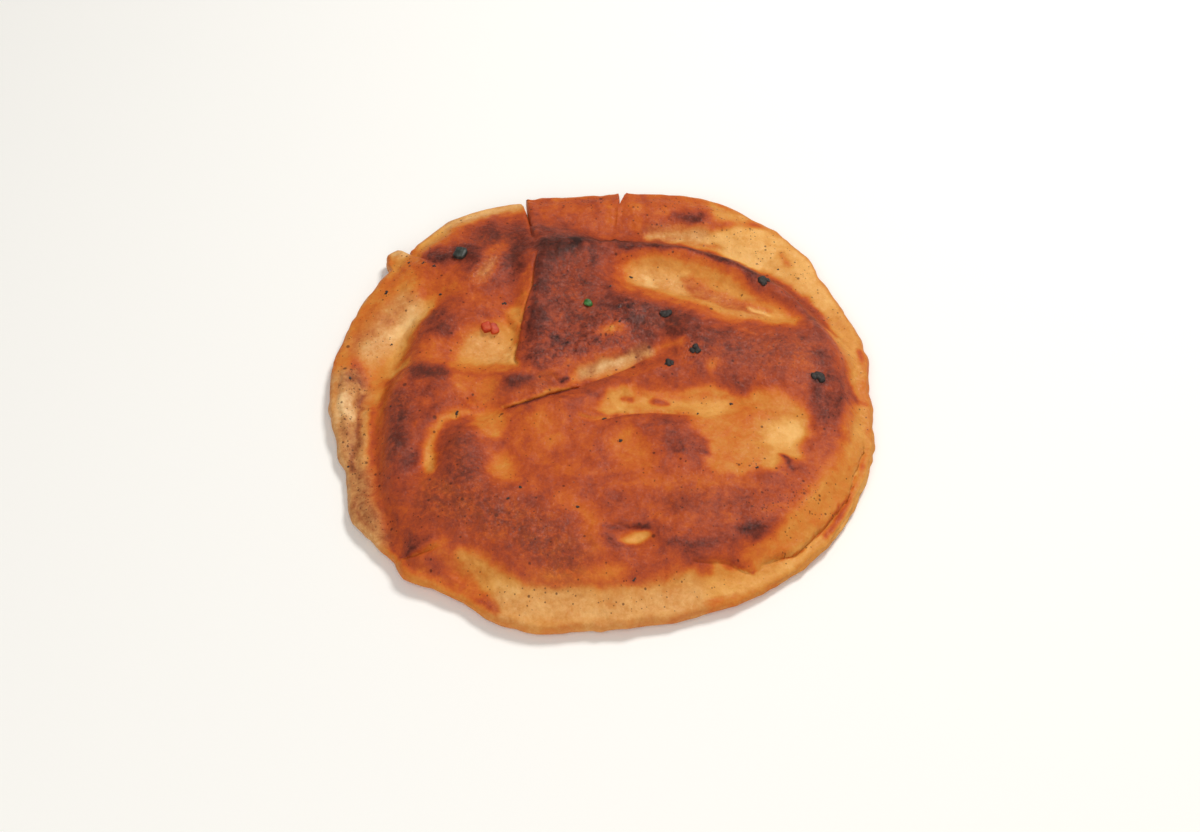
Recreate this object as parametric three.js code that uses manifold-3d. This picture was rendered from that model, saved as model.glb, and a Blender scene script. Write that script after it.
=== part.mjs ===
// A round flatbread folded shut over a meat filling and baked on a hot pan.
// One solid: a pressed rim, a filled middle with folds and hollows, a flat underside,
// torn slits in the edge, and the bits of charred and chopped filling stuck to the top.
// Millimetres, +Z up. The origin is on the underside, at the middle of the bread's box.
// Bearings are degrees anticlockwise from +X, seen from above.
import * as THREE from "three";
import { mergeVertices } from "three/addons/utils/BufferGeometryUtils.js";
import Module from "manifold-3d";

// Driving dimensions
const MEAN_RADIUS = 114;
const OUTLINE_CENTRE = new THREE.Vector2(1.05, 1.6);
const RIM_HEIGHT = 7.5;
const SHOULDER_HEIGHT = 13;
const CROWN_HEIGHT = 17;
const RIM_WIDTH = 13;
const EDGE_ROUND = 3.2;
const UNDERSIDE_LIFT = 1.2;

// How the top settles from one level to the next
const EDGE_FALL = 0.3;
const EDGE_SLOPE = 9;
const STEP_SLOPE = 8;
const CROWN_SLOPE = 34;

// The mesh: rings of points from the top's middle, round the edge and back under
const TOP_RINGS = 33;
const POINTS_PER_RING = 6;
const EDGE_STEPS = 6;
const UNDERSIDE_RINGS = [
  { in: 12, share: 1 },
  { in: 30, share: 0.5 },
  { in: 60, share: 0.25 },
  { in: 90, share: 0.125 },
];

// Swells and dips of the outline: where, how far along the edge, and by how much
const OUTLINE_SWELLS = [
  { name: "right back flat", at: 28, spread: 9, by: -1.2 },
  { name: "back right shoulder", at: 60, spread: 21, by: 4.9 },
  { name: "flat back", at: 92, spread: 14, by: -2.6 },
  { name: "back left shoulder", at: 124, spread: 13, by: 2.7 },
  { name: "left flat", at: 198, spread: 8, by: -2.6 },
  { name: "left front corner", at: 215, spread: 7, by: 5 },
  { name: "tear", at: 225, spread: 2, by: -1.2 },
  { name: "front left flap", at: 230.5, spread: 5.5, by: 5.6 },
  { name: "front swell", at: 254, spread: 11, by: 5.2 },
  { name: "front right swell", at: 317, spread: 18, by: 2.6 },
  { name: "right flat", at: 357, spread: 11, by: -2.9 },
];

// How the rim's width, out to in, and its height vary round the edge
const RIM_WIDTH_SWELLS = [
  { name: "wide back rim", at: 72, spread: 38, by: 19 },
  { name: "pressed back left rim", at: 135, spread: 22, by: -7 },
  { name: "wide left rim", at: 170, spread: 16, by: 15 },
  { name: "flap joined to the edge", at: 229, spread: 12, by: -9 },
  { name: "front rim", at: 264, spread: 28, by: -3 },
  { name: "narrow right rim", at: 345, spread: 48, by: -7 },
];
const RIM_HEIGHT_SWELLS = [
  { name: "browned back rim", at: 90, spread: 45, by: 2.5 },
  { name: "browned back left rim", at: 135, spread: 30, by: 2.5 },
  { name: "thin right rim", at: 345, spread: 35, by: -1 },
];

// Folds of the top: a line from one place to another, bowed to its left,
// with its reach to each side at both ends and how far it rises or sinks.
const FOLDS = [
  { name: "back hollow", from: [15, 60], to: [82, 36], bow: 0, reach: [11, 5], rise: -5 },
  { name: "tongue in the back hollow", from: [42, 52], to: [64, 46], bow: 1, reach: [5, 5], rise: 1.6 },
  { name: "left bay", from: [-54, 13], to: [-43, 16], bow: 0, reach: [11, 11], rise: -4.5 },
  { name: "left bay's tail", from: [-40, 24], to: [-34, 58], bow: 0, reach: [7, 5], rise: -2 },
  { name: "middle crease", from: [-46, -15], to: [27, 15], bow: -2, reach: [4, 6], rise: -3.4 },
  { name: "hollow under the crease", from: [4, -14], to: [54, -10], bow: 1, reach: [8, 9], rise: -3 },
  { name: "right shallow", from: [58, -20], to: [74, -31], bow: 0, reach: [14, 15], rise: -1.6 },
  { name: "left crescent", from: [-48, -15], to: [-70, -46], bow: -5, reach: [5, 5], rise: -2.8 },
  { name: "upper left stripe", from: [-73, 45], to: [-97, 2], bow: -2, reach: [7, 9], rise: -2.8 },
  { name: "thin spot in front", from: [8, -79], to: [17, -79], bow: 0, reach: [5, 5], rise: -1.6 },
  { name: "pale spot on the left", from: [-43, -42], to: [-38, -47], bow: 0, reach: [6, 6], rise: -1.4 },
  { name: "pale spot by the crease", from: [-47, -22], to: [-38, -24], bow: 0, reach: [7, 7], rise: -1.6 },
  { name: "groove in the left rim", from: [-97, -8], to: [-91, -60], bow: -2, reach: [4, 4], rise: -1.8 },
  { name: "back valley", from: [6, 87], to: [98, 38], bow: 14, reach: [8, 8], rise: -2 },
  { name: "back ridge", from: [-16, 74], to: [99, 13], bow: 20, reach: [8, 6], rise: 2.6 },
  { name: "ridge from the left slit", from: [-24, 88], to: [-27, 10], bow: 0, reach: [7, 7], rise: 1.8 },
  { name: "middle hump", from: [-12, 48], to: [32, 26], bow: 0, reach: [18, 16], rise: 1.6 },
  { name: "tongue above the crease", from: [-41, -7], to: [-19, 1], bow: 0, reach: [7, 6], rise: 1.6 },
  { name: "right band", from: [38, 22], to: [91, 6], bow: 0, reach: [12, 14], rise: 1.4 },
  { name: "left stripe", from: [-68, 26], to: [-81, -42], bow: -4, reach: [9, 10], rise: 1.8 },
  { name: "left blob", from: [-58, -30], to: [-52, -46], bow: 0, reach: [7, 8], rise: 1.3 },
  { name: "lip under the crease", from: [-35, -19], to: [26, 2], bow: -1, reach: [6, 6], rise: 1.7 },
  { name: "front plateau", from: [-50, -68], to: [54, -73], bow: -10, reach: [18, 18], rise: 1.4 },
  { name: "dark middle patch", from: [19, -27], to: [39, -37], bow: 0, reach: [9, 9], rise: 1.1 },
  { name: "back rim swell", from: [-26, 102], to: [54, 98], bow: 6, reach: [10, 10], rise: 1.4 },
  { name: "back left rim swell", from: [-97, 48], to: [-48, 94], bow: 6, reach: [12, 10], rise: 1.4 },
  { name: "left rim swell", from: [-107, 12], to: [-104, -32], bow: -1, reach: [6, 6], rise: 1.6 },
  { name: "front rim swell", from: [-40, -106], to: [24, -105], bow: -3, reach: [7, 7], rise: 1.2 },
];

// Steps where one sheet of dough overlaps another: the left of the line stands higher.
const OVERLAPS = [
  { name: "fold from the left slit", from: [-31, 104], to: [-35, 6], bow: -2, reach: 9, rise: 1.7 },
  { name: "edge under the crease", from: [22, 4], to: [-44, -18], bow: 2, reach: 8, rise: 1.6 },
  { name: "front right seam", from: [56, -90], to: [106, -12], bow: -12.5, reach: 6, rise: 1.3 },
];
const OVERLAP_EDGE = 2.4;

// Gentle lumps of the filling: waves of a length across the top, in a direction
const LUMPS = [
  { length: 37, direction: 20, by: 0.35 },
  { length: 29, direction: 95, by: 0.3 },
  { length: 23, direction: 150, by: 0.25 },
];

// Slits torn into the edge: a wedge from the edge inwards, heading the way it runs
const SLITS = [
  { name: "left back slit", at: 108.3, heading: 282, length: 15, width: 2.4 },
  { name: "right back slit", at: 85.1, heading: 278, length: 12, width: 2.6 },
  { name: "front left tear", at: 224.6, heading: -18, length: 18, width: 3 },
];
const SLIT_MOUTH = 6;

// A small ear of dough that stands out from the back left edge
const EAR = { bearing: 141.5, radius: 114, half: [7.4, 5, 2.2], height: 6.5 };

// Bits stuck to the top: their half sizes, turn and how far they stand out of it
const BITS = [
  { name: "charred cube", kind: "cube", at: [-61.5, 71], half: [3.2, 3, 2.4], turn: 12, stands: 1.4 },
  { name: "red dice", kind: "cube", at: [-47, 26.5], half: [4, 2.8, 1.8], turn: -15, stands: 0.9 },
  { name: "green bit", kind: "crumb", at: [-5.5, 37], half: [1.9, 2.3, 1.6], turn: 0, stands: 0.8 },
  { name: "char by the back ridge", kind: "crumb", at: [69.5, 54], half: [2.8, 2.6, 1.4], turn: 30, stands: 0.3 },
  { name: "char on the hump", kind: "crumb", at: [27, 31], half: [3, 2.4, 1.4], turn: 50, stands: 0.3 },
  { name: "char on the band", kind: "crumb", at: [38.5, 11.5], half: [2.4, 2.2, 1.3], turn: 0, stands: 0.3 },
  { name: "char by the crease", kind: "crumb", at: [28, 6], half: [2.4, 2, 1.3], turn: 70, stands: 0.3 },
  { name: "char on the right", kind: "crumb", at: [89, -1], half: [2.6, 2.6, 1.4], turn: 20, stands: 0.3 },
];

const FULL_TURN = 360;
const HALF_TURN = 180;
const FOLD_POINTS = 16;
const radians = THREE.MathUtils.degToRad;
const degrees = THREE.MathUtils.radToDeg;
const smoothstep = THREE.MathUtils.smoothstep;

function bell(distance, reach) {
  return Math.exp(-((distance / reach) ** 2));
}

function bearingGap(a, b) {
  return Math.abs(THREE.MathUtils.euclideanModulo(a - b + HALF_TURN, FULL_TURN) - HALF_TURN);
}

// A measure that varies round the edge: its base with each swell and dip added.
function roundTheEdge(base, swells, bearing) {
  return swells.reduce((sum, swell) => sum + swell.by * bell(bearingGap(bearing, swell.at), swell.spread), base);
}

function outlineRadius(bearing) {
  return roundTheEdge(MEAN_RADIUS, OUTLINE_SWELLS, bearing);
}

// The place at a bearing and a distance from the outline's centre.
function pointAt(bearing, radius) {
  const turn = radians(bearing);
  return [OUTLINE_CENTRE.x + radius * Math.cos(turn), OUTLINE_CENTRE.y + radius * Math.sin(turn)];
}

// A fold's line as a few points on a curve bowed to its left.
function foldLine({ from, to, bow }) {
  const start = new THREE.Vector2(...from);
  const end = new THREE.Vector2(...to);
  const along = end.clone().sub(start).normalize();
  const left = new THREE.Vector2(-along.y, along.x);
  const middle = start.clone().add(end).multiplyScalar(0.5).addScaledVector(left, 2 * bow);
  return new THREE.QuadraticBezierCurve(start, middle, end).getPoints(FOLD_POINTS);
}

// Where a place lies by a fold's line: how far off, on its left or right, and how far along from 0 to 1.
function offLine(points, place) {
  let nearest = { off: Infinity, side: 1, along: 0 };
  for (let i = 0; i + 1 < points.length; i += 1) {
    const step = points[i + 1].clone().sub(points[i]);
    const reach = place.clone().sub(points[i]);
    const share = THREE.MathUtils.clamp(reach.dot(step) / step.lengthSq(), 0, 1);
    const off = reach.clone().addScaledVector(step, -share).length();
    if (off < nearest.off) {
      nearest = { off, side: Math.sign(step.cross(reach)) || 1, along: (i + share) / (points.length - 1) };
    }
  }
  return nearest;
}

const foldLines = FOLDS.map(foldLine);
const overlapLines = OVERLAPS.map(foldLine);

function foldRelief(place) {
  return FOLDS.reduce((sum, fold, i) => {
    const { off, along } = offLine(foldLines[i], place);
    const reach = THREE.MathUtils.lerp(fold.reach[0], fold.reach[1], along);
    return sum + fold.rise * bell(off, reach);
  }, 0);
}

function overlapRelief(place) {
  return OVERLAPS.reduce((sum, overlap, i) => {
    const { off, side, along } = offLine(overlapLines[i], place);
    const fade = Math.exp(-off / overlap.reach) * Math.sin(Math.PI * along);
    return sum + overlap.rise * side * Math.tanh(off / OVERLAP_EDGE) * fade;
  }, 0);
}

function lumpRelief(place) {
  return LUMPS.reduce((sum, lump) => {
    const turn = radians(lump.direction);
    const along = place.x * Math.cos(turn) + place.y * Math.sin(turn);
    return sum + lump.by * Math.sin((2 * Math.PI * along) / lump.length);
  }, 0);
}

// The height of the top at a place: the edge, the rim, the step up to the filled middle and its relief.
function topHeight(x, y) {
  const place = new THREE.Vector2(x, y);
  const fromCentre = place.clone().sub(OUTLINE_CENTRE);
  const bearing = degrees(fromCentre.angle());
  const inside = outlineRadius(bearing) - fromCentre.length();
  const rimHeight = roundTheEdge(RIM_HEIGHT, RIM_HEIGHT_SWELLS, bearing);
  const rimWidth = roundTheEdge(RIM_WIDTH, RIM_WIDTH_SWELLS, bearing);
  const rim = rimHeight * (1 - EDGE_FALL + EDGE_FALL * smoothstep(inside, 0, EDGE_SLOPE));
  const step = (SHOULDER_HEIGHT - rimHeight) * smoothstep(inside, rimWidth, rimWidth + STEP_SLOPE);
  const crown = (CROWN_HEIGHT - SHOULDER_HEIGHT) * smoothstep(inside, rimWidth, rimWidth + CROWN_SLOPE);
  const relief = foldRelief(place) + overlapRelief(place) + lumpRelief(place);
  return rim + step + crown + relief * smoothstep(inside, 0, EDGE_SLOPE);
}

// One ring: evenly spread bearings, and the place of the point at each.
function ring(count, place) {
  return Array.from({ length: count }, (_, i) => place((FULL_TURN * i) / count));
}

function topRings() {
  const [x, y] = pointAt(0, 0);
  const rings = [[[x, y, topHeight(x, y)]]];
  for (let k = 1; k <= TOP_RINGS; k += 1) {
    rings.push(
      ring(POINTS_PER_RING * k, (bearing) => {
        const [x, y] = pointAt(bearing, ((outlineRadius(bearing) - EDGE_ROUND) * k) / TOP_RINGS);
        return [x, y, topHeight(x, y)];
      }),
    );
  }
  return rings;
}

// The rounded outer edge, from just past the top's last ring down to the underside's first.
function edgeRings(count) {
  const rings = [];
  for (let j = 1; j <= EDGE_STEPS; j += 1) {
    const turn = Math.PI * (0.5 - j / EDGE_STEPS);
    rings.push(
      ring(count, (bearing) => {
        const inner = outlineRadius(bearing) - EDGE_ROUND;
        const [x, y] = pointAt(bearing, inner + EDGE_ROUND * Math.cos(turn));
        const upper = topHeight(...pointAt(bearing, inner));
        const half = (upper - UNDERSIDE_LIFT) / 2;
        return [x, y, UNDERSIDE_LIFT + half * (1 + Math.sin(turn))];
      }),
    );
  }
  return rings;
}

// The flat underside, with fewer points to a ring towards its middle.
function undersideRings(count) {
  const rings = UNDERSIDE_RINGS.map(({ in: inside, share }) =>
    ring(Math.round(count * share), (bearing) => [...pointAt(bearing, outlineRadius(bearing) - inside), 0]),
  );
  return [...rings, [[...pointAt(0, 0), 0]]];
}

// A closed skin through rings of points: each ring is zipped to the next, whatever their counts.
function skin(rings) {
  const starts = [];
  let total = 0;
  rings.forEach((points) => {
    starts.push(total);
    total += points.length;
  });
  const triangles = [];
  for (let r = 0; r + 1 < rings.length; r += 1) {
    const [near, far] = [rings[r].length, rings[r + 1].length];
    const nearPoint = (i) => starts[r] + (i % near);
    const farPoint = (j) => starts[r + 1] + (j % far);
    let [i, j] = [0, 0];
    while (i < near || j < far) {
      if (j < far && (i >= near || (j + 1) / far <= (i + 1) / near)) {
        if (far > 1) triangles.push(nearPoint(i), farPoint(j), farPoint(j + 1));
        j += 1;
      } else {
        if (near > 1) triangles.push(nearPoint(i), farPoint(j), nearPoint(i + 1));
        i += 1;
      }
    }
  }
  const geometry = new THREE.BufferGeometry();
  geometry.setAttribute("position", new THREE.Float32BufferAttribute(rings.flat(2), 3));
  geometry.setIndex(triangles);
  return geometry;
}

function breadSkin() {
  const top = topRings();
  const count = top.at(-1).length;
  return skin([...top, ...edgeRings(count), ...undersideRings(count)]);
}

// A wedge that opens the edge: its width at the edge, wider outside it and a point inside.
function slitWedge({ at, heading, length, width }) {
  const halfMouth = (width / 2) * (1 + SLIT_MOUTH / length);
  const wedge = new THREE.Shape();
  wedge.moveTo(-SLIT_MOUTH, -halfMouth);
  wedge.lineTo(length, 0);
  wedge.lineTo(-SLIT_MOUTH, halfMouth);
  wedge.closePath();
  const geometry = new THREE.ExtrudeGeometry(wedge, { depth: 3 * CROWN_HEIGHT, bevelEnabled: false });
  geometry.rotateZ(radians(heading));
  geometry.translate(...pointAt(at, outlineRadius(at)), -CROWN_HEIGHT);
  return geometry;
}

function earLump() {
  const geometry = new THREE.SphereGeometry(1, 12, 8);
  geometry.rotateX(Math.PI / 2);
  geometry.scale(...EAR.half);
  geometry.rotateZ(radians(EAR.bearing));
  geometry.translate(...pointAt(EAR.bearing, EAR.radius), EAR.height);
  return geometry;
}

function bitLump({ kind, at, half, turn, stands }) {
  const geometry = kind === "cube" ? new THREE.BoxGeometry(2, 2, 2) : new THREE.DodecahedronGeometry(1);
  geometry.scale(...half);
  geometry.rotateZ(radians(turn));
  geometry.translate(at[0], at[1], topHeight(...at) + stands);
  return geometry;
}

const wasm = await Module();
wasm.setup();

function toSolid(geometry) {
  const bare = geometry.clone();
  bare.deleteAttribute("normal");
  bare.deleteAttribute("uv");
  const merged = mergeVertices(bare);
  return new wasm.Manifold(
    new wasm.Mesh({
      numProp: 3,
      vertProperties: new Float32Array(merged.attributes.position.array),
      triVerts: new Uint32Array(merged.index.array),
    }),
  );
}

function toGeometry(solid) {
  const { vertProperties, triVerts } = solid.getMesh();
  const geometry = new THREE.BufferGeometry();
  geometry.setAttribute("position", new THREE.BufferAttribute(vertProperties, 3));
  geometry.setIndex(new THREE.BufferAttribute(triVerts, 1));
  geometry.computeVertexNormals();
  return geometry;
}

// The whole bread: the skin, opened at the slits, with the ear and the bits joined on.
function breadGeometry() {
  let solid = toSolid(breadSkin());
  SLITS.forEach((slit) => {
    solid = solid.subtract(toSolid(slitWedge(slit)));
  });
  [earLump(), ...BITS.map(bitLump)].forEach((lump) => {
    solid = solid.add(toSolid(lump));
  });
  const geometry = toGeometry(solid);
  geometry.computeBoundingBox();
  const { min, max } = geometry.boundingBox;
  geometry.translate(-(min.x + max.x) / 2, -(min.y + max.y) / 2, -min.z);
  return geometry;
}

const crust = new THREE.MeshStandardMaterial({ color: 0xb8672f, roughness: 0.55, metalness: 0 });
const flatbread = new THREE.Mesh(breadGeometry(), crust);
flatbread.name = "flatbread";

const bread = new THREE.Group();
bread.add(flatbread);

export default bread;
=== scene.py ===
# %% [markdown]
# # A meat-filled flatbread, browned on a pan
# The bread is one round of dough, closed over its filling, pressed at the rim and browned on a hot pan.
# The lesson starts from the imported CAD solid, which gives the size, the outline and the large folds.
# Blender adds what a solid is too coarse for: sharp creases, wrinkles, blisters and the browning itself.

# %% Load the frame
import math

import bmesh
import bpy
import numpy as np
from mathutils import Matrix, Vector
from mathutils.bvhtree import BVHTree


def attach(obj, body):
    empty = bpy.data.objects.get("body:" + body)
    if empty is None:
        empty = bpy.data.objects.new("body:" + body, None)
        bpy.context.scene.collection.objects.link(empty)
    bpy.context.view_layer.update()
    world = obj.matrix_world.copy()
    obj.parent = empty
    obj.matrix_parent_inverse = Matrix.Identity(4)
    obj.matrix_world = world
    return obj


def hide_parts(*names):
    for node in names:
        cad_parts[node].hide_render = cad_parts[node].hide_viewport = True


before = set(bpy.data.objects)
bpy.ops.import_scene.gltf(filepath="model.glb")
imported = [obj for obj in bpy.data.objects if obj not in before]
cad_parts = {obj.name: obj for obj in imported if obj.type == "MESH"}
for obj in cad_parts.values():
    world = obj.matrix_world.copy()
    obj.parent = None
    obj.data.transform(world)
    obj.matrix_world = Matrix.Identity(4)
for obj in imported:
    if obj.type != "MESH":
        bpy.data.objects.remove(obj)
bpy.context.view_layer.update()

MM = 0.001
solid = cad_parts["flatbread"]

# %% [markdown]
# ## Camera
# The camera stands in front of the bread and looks down on it at 52 degrees, as in the photograph.
# It is placed first, because every later look at the bread is judged through it.
# A location and one turn about X are enough, since the camera looks straight along +Y in plan.

# %% Camera
AIM = Vector((-0.4, -14.7, 8.0)) * MM
AIM_DISTANCE = 680 * MM
ELEVATION = math.radians(52)

camera_data = bpy.data.cameras.new("camera")
camera_data.lens = 50
camera_data.sensor_width = 36
camera = bpy.data.objects.new("camera", camera_data)
camera.location = AIM + AIM_DISTANCE * Vector((0, -math.cos(ELEVATION), math.sin(ELEVATION)))
camera.rotation_euler = (math.pi / 2 - ELEVATION, 0, 0)
bpy.context.collection.objects.link(camera)
bpy.context.scene.camera = camera
bpy.context.scene.view_settings.view_transform = "Standard"
print("camera at", [round(v, 3) for v in camera.location])

# %% [markdown]
# ## Floor and light
# The bread lies on a plain, nearly white floor under soft studio light.
# The key lamp stands behind the bread and a little to the right: its light glances off the oily crust
# towards the camera, which gives the glints. A wide lamp in front fills the shadows.
# The world is kept dim, because a bright one would lay a grey veil over the dark crust.


# %% Floor
def plain_shader(name, colour, roughness):
    material = bpy.data.materials.new(name)
    material.use_nodes = True
    shader = material.node_tree.nodes["Principled BSDF"]
    shader.inputs["Base Color"].default_value = (*colour, 1)
    shader.inputs["Roughness"].default_value = roughness
    return material


def new_piece(name, bm):
    mesh = bpy.data.meshes.new(name)
    bm.to_mesh(mesh)
    bm.free()
    piece = bpy.data.objects.new(name, mesh)
    bpy.context.collection.objects.link(piece)
    return piece


FLOOR_SIDE = 3.0
floor_mesh = bmesh.new()
bmesh.ops.create_grid(floor_mesh, x_segments=1, y_segments=1, size=FLOOR_SIDE)
floor = new_piece("floor", floor_mesh)
floor.data.materials.append(plain_shader("floor_paper", (0.98, 0.975, 0.945), 0.9))
print("floor", FLOOR_SIDE * 2, "m square")


# %% Lamps
def lamp(name, place, aim, size, watts, colour):
    data = bpy.data.lights.new(name, "AREA")
    data.shape = "DISK"
    data.size = size
    data.energy = watts
    data.color = colour
    light = bpy.data.objects.new(name, data)
    light.location = place
    light.rotation_euler = (Vector(aim) - Vector(place)).to_track_quat("-Z", "Y").to_euler()
    bpy.context.collection.objects.link(light)


WARM_WHITE = (1, 0.98, 0.95)
MIDDLE_OF_THE_BREAD = (0, 0, 0)
lamp("key", (0.5, 0.6, 1.1), MIDDLE_OF_THE_BREAD, size=0.4, watts=11.4, colour=WARM_WHITE)
lamp("fill", (-0.2, -0.95, 1.0), MIDDLE_OF_THE_BREAD, size=1.5, watts=10, colour=WARM_WHITE)

world = bpy.data.worlds.new("studio")
world.use_nodes = True
background = world.node_tree.nodes["Background"]
background.inputs["Color"].default_value = (1, 0.985, 0.96, 1)
background.inputs["Strength"].default_value = 0.25
bpy.context.scene.world = world

# %% [markdown]
# ## Three helpers for dough
# Dough has no straight lines, so most of what follows is painted or pressed along drawn paths.
# `along` tells each point how far it is from such a path, which side it is on and how far along it.
# `cloud` gives smooth random patches of a chosen width. Its seed is fixed, so every run is the same.
# `ease` turns a straight rise from 0 to 1 into a soft one.


# %% Helpers
def ease(t):
    t = np.clip(t, 0, 1)
    return t * t * (3 - 2 * t)


def cloud(plan, patch, seed):
    """Smooth random values from -1 to 1 over the plan, in patches of about that many millimetres."""
    table = np.random.default_rng(seed).uniform(-1, 1, (64, 64))
    spot = plan / patch
    cell = np.floor(spot).astype(int)
    u, v = ease(spot - cell).T
    a, b = (cell % 64).T
    c, d = ((cell + 1) % 64).T
    near = table[a, b] * (1 - u) + table[c, b] * u
    far = table[a, d] * (1 - u) + table[c, d] * u
    return near * (1 - v) + far * v


def along(plan, path):
    """Distance to the path, share of its length passed there, side (+1 is left) and direction to it."""
    path = np.array(path if len(path) > 1 else path * 2, float)
    steps = path[1:] - path[:-1]
    runs = np.maximum(np.hypot(*steps.T), 1e-9)
    distance = np.full(len(plan), 1e9)
    share = np.zeros(len(plan))
    side = np.ones(len(plan))
    nearest = np.zeros_like(plan)
    passed = 0.0
    for start, step, run in zip(path[:-1], steps, runs):
        t = np.clip((plan - start) @ step / run**2, 0, 1)
        foot = start + np.outer(t, step)
        gap = np.hypot(*(plan - foot).T)
        closer = gap < distance
        distance[closer] = gap[closer]
        share[closer] = (passed + t[closer] * run) / runs.sum()
        cross = step[0] * (plan[:, 1] - start[1]) - step[1] * (plan[:, 0] - start[0])
        side[closer] = np.where(cross[closer] >= 0, 1, -1)
        nearest[closer] = foot[closer]
        passed += run
    way = (nearest - plan) / np.maximum(distance, 1e-6)[:, None]
    return distance, share, side, way


print("helpers ready")

# %% [markdown]
# ## Measure the solid
# The outline and the heights come from the CAD solid, so the finished bread keeps its size and folds.
# Rays shot inwards find the edge at each bearing, and rays shot down find the height at any place.
# The slits show as narrow dips in the outline. They are bridged here and cut again later, more finely.
# A few swells of up to 3 mm then shape the small ear on the back left and fill out the back edge.

# %% Measure the outline
solid_copy = bmesh.new()
solid_copy.from_mesh(solid.data)
bmesh.ops.remove_doubles(solid_copy, verts=solid_copy.verts, dist=1e-6)
solid_tree = BVHTree.FromBMesh(solid_copy)
solid_copy.free()

FAR = 0.2
BEARINGS = 1440
EDGE_HEIGHTS = (2.5, 4.0, 5.5, 7.0)
bearings = np.radians(np.arange(BEARINGS) * 360 / BEARINGS)


def edge_radius(bearing):
    direction = Vector((math.cos(bearing), math.sin(bearing), 0))
    found = []
    for height in EDGE_HEIGHTS:
        start = direction * FAR + Vector((0, 0, height * MM))
        spot = solid_tree.ray_cast(start, -direction)[0]
        if spot:
            found.append(spot.xy.length / MM)
    return max(found)


edge = np.array([edge_radius(b) for b in bearings])
print("edge of the solid", round(edge.min(), 1), "to", round(edge.max(), 1), "mm from the middle")

# %% Bridge the slits and swell the edge
BRIDGE = 14
SMOOTH_PASSES = 12
around = np.array([np.roll(edge, k) for k in range(-BRIDGE, BRIDGE + 1)]).max(0)
edge = np.array([np.roll(around, k) for k in range(-BRIDGE, BRIDGE + 1)]).min(0)
for _ in range(SMOOTH_PASSES):
    edge = (np.roll(edge, 1) + 2 * edge + np.roll(edge, -1)) / 4
rim_places = np.c_[np.cos(bearings), np.sin(bearings)] * edge[:, None]
edge += 0.5 * cloud(rim_places, 8, 11) + 0.3 * cloud(rim_places, 3.4, 12)

SWELLS = [
    # middle in degrees, rise in mm, reach in degrees
    ("ear", 140.6, 1.1, 2.2),
    ("right half of the ear", 139.0, 0.9, 0.5),
    ("gap beside the ear", 138.0, -3.0, 0.45),
    ("right of the ear", 136.6, -0.8, 1.2),
    ("left of the ear", 143.2, 2.2, 0.75),
    ("between the slits", 107, -0.8, 16),
    ("back", 70, 1.2, 9),
    ("back right", 44, 2.4, 8),
]
for _, centre, by, reach_degrees in SWELLS:
    off = (np.degrees(bearings) - centre + 180) % 360 - 180
    edge += by * np.exp(-((off / reach_degrees) ** 4))


def outline(bearing):
    return np.interp(bearing % math.tau, bearings, edge, period=math.tau)


print("outline radius", round(edge.min(), 1), "to", round(edge.max(), 1), "mm")

# %% [markdown]
# ## A round blank of dough
# The blank is a hexagonal puck: a six-sided circle, cut finely by one subdivision into even triangles.
# Its border is extruded down in small steps for the edge. A coarser six-sided circle closes the underside.
# A fan of hundreds of sides would have needle-thin triangles at its middle, and a hexagon has none.

# %% Blank
RINGS = 144
UNDERSIDE_RINGS = RINGS // 4
EDGE_ROWS = 12
ROW_STEP = 0.01
PUCK_DEPTH = EDGE_ROWS * ROW_STEP

blank = bmesh.new()
bmesh.ops.create_circle(blank, cap_ends=True, cap_tris=True, segments=6, radius=1)
bmesh.ops.subdivide_edges(blank, edges=blank.edges[:], cuts=RINGS - 1, use_grid_fill=True)
rim = [e for e in blank.edges if e.is_boundary]
for _ in range(EDGE_ROWS):
    made = bmesh.ops.extrude_edge_only(blank, edges=rim)["geom"]
    low = [g for g in made if isinstance(g, bmesh.types.BMVert)]
    bmesh.ops.translate(blank, verts=low, vec=(0, 0, -ROW_STEP))
    rim = [g for g in made if isinstance(g, bmesh.types.BMEdge) and g.is_boundary]

wall_rim = set(rim)
below = Matrix.Translation((0, 0, -PUCK_DEPTH))
base = bmesh.ops.create_circle(blank, cap_ends=True, cap_tris=True, segments=6, radius=1, matrix=below)
base_verts = set(base["verts"])
base_edges = [e for e in blank.edges if base_verts.issuperset(e.verts)]
bmesh.ops.subdivide_edges(blank, edges=base_edges, cuts=UNDERSIDE_RINGS - 1, use_grid_fill=True)
base_rim = [e for e in blank.edges if e.is_boundary and e not in wall_rim]
bmesh.ops.subdivide_edges(blank, edges=base_rim, cuts=RINGS // UNDERSIDE_RINGS - 1)
bmesh.ops.remove_doubles(blank, verts=blank.verts, dist=1e-4)
bmesh.ops.triangulate(blank, faces=[f for f in blank.faces if len(f.verts) > 4])
bmesh.ops.recalc_face_normals(blank, faces=blank.faces)
open_edges = sum(1 for e in blank.edges if not e.is_manifold)
bread = new_piece("bread", blank)
counts = len(bread.data.vertices), len(bread.data.polygons), open_edges
print("blank: %d vertices, %d faces, %d open edges" % counts)

# %% [markdown]
# ## Lay the blank over the solid
# Each ring of the hexagon becomes a ring of the bread: equal steps along its sides become equal bearings.
# Its points crowd towards the two slits in the back edge, so those can have thin, sharp walls.
# The slits themselves are notches in the outline, and the outer rings squeeze up to make room for them.
# Last, the ear is turned a little to the right, as it leans on the real bread.

# %% Rings to bearings
blank_places = np.zeros(len(bread.data.vertices) * 3)
bread.data.vertices.foreach_get("co", blank_places)
blank_places = blank_places.reshape(-1, 3)
SIXTH = math.tau / 6
FIRST_CORNER = math.pi / 2

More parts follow.
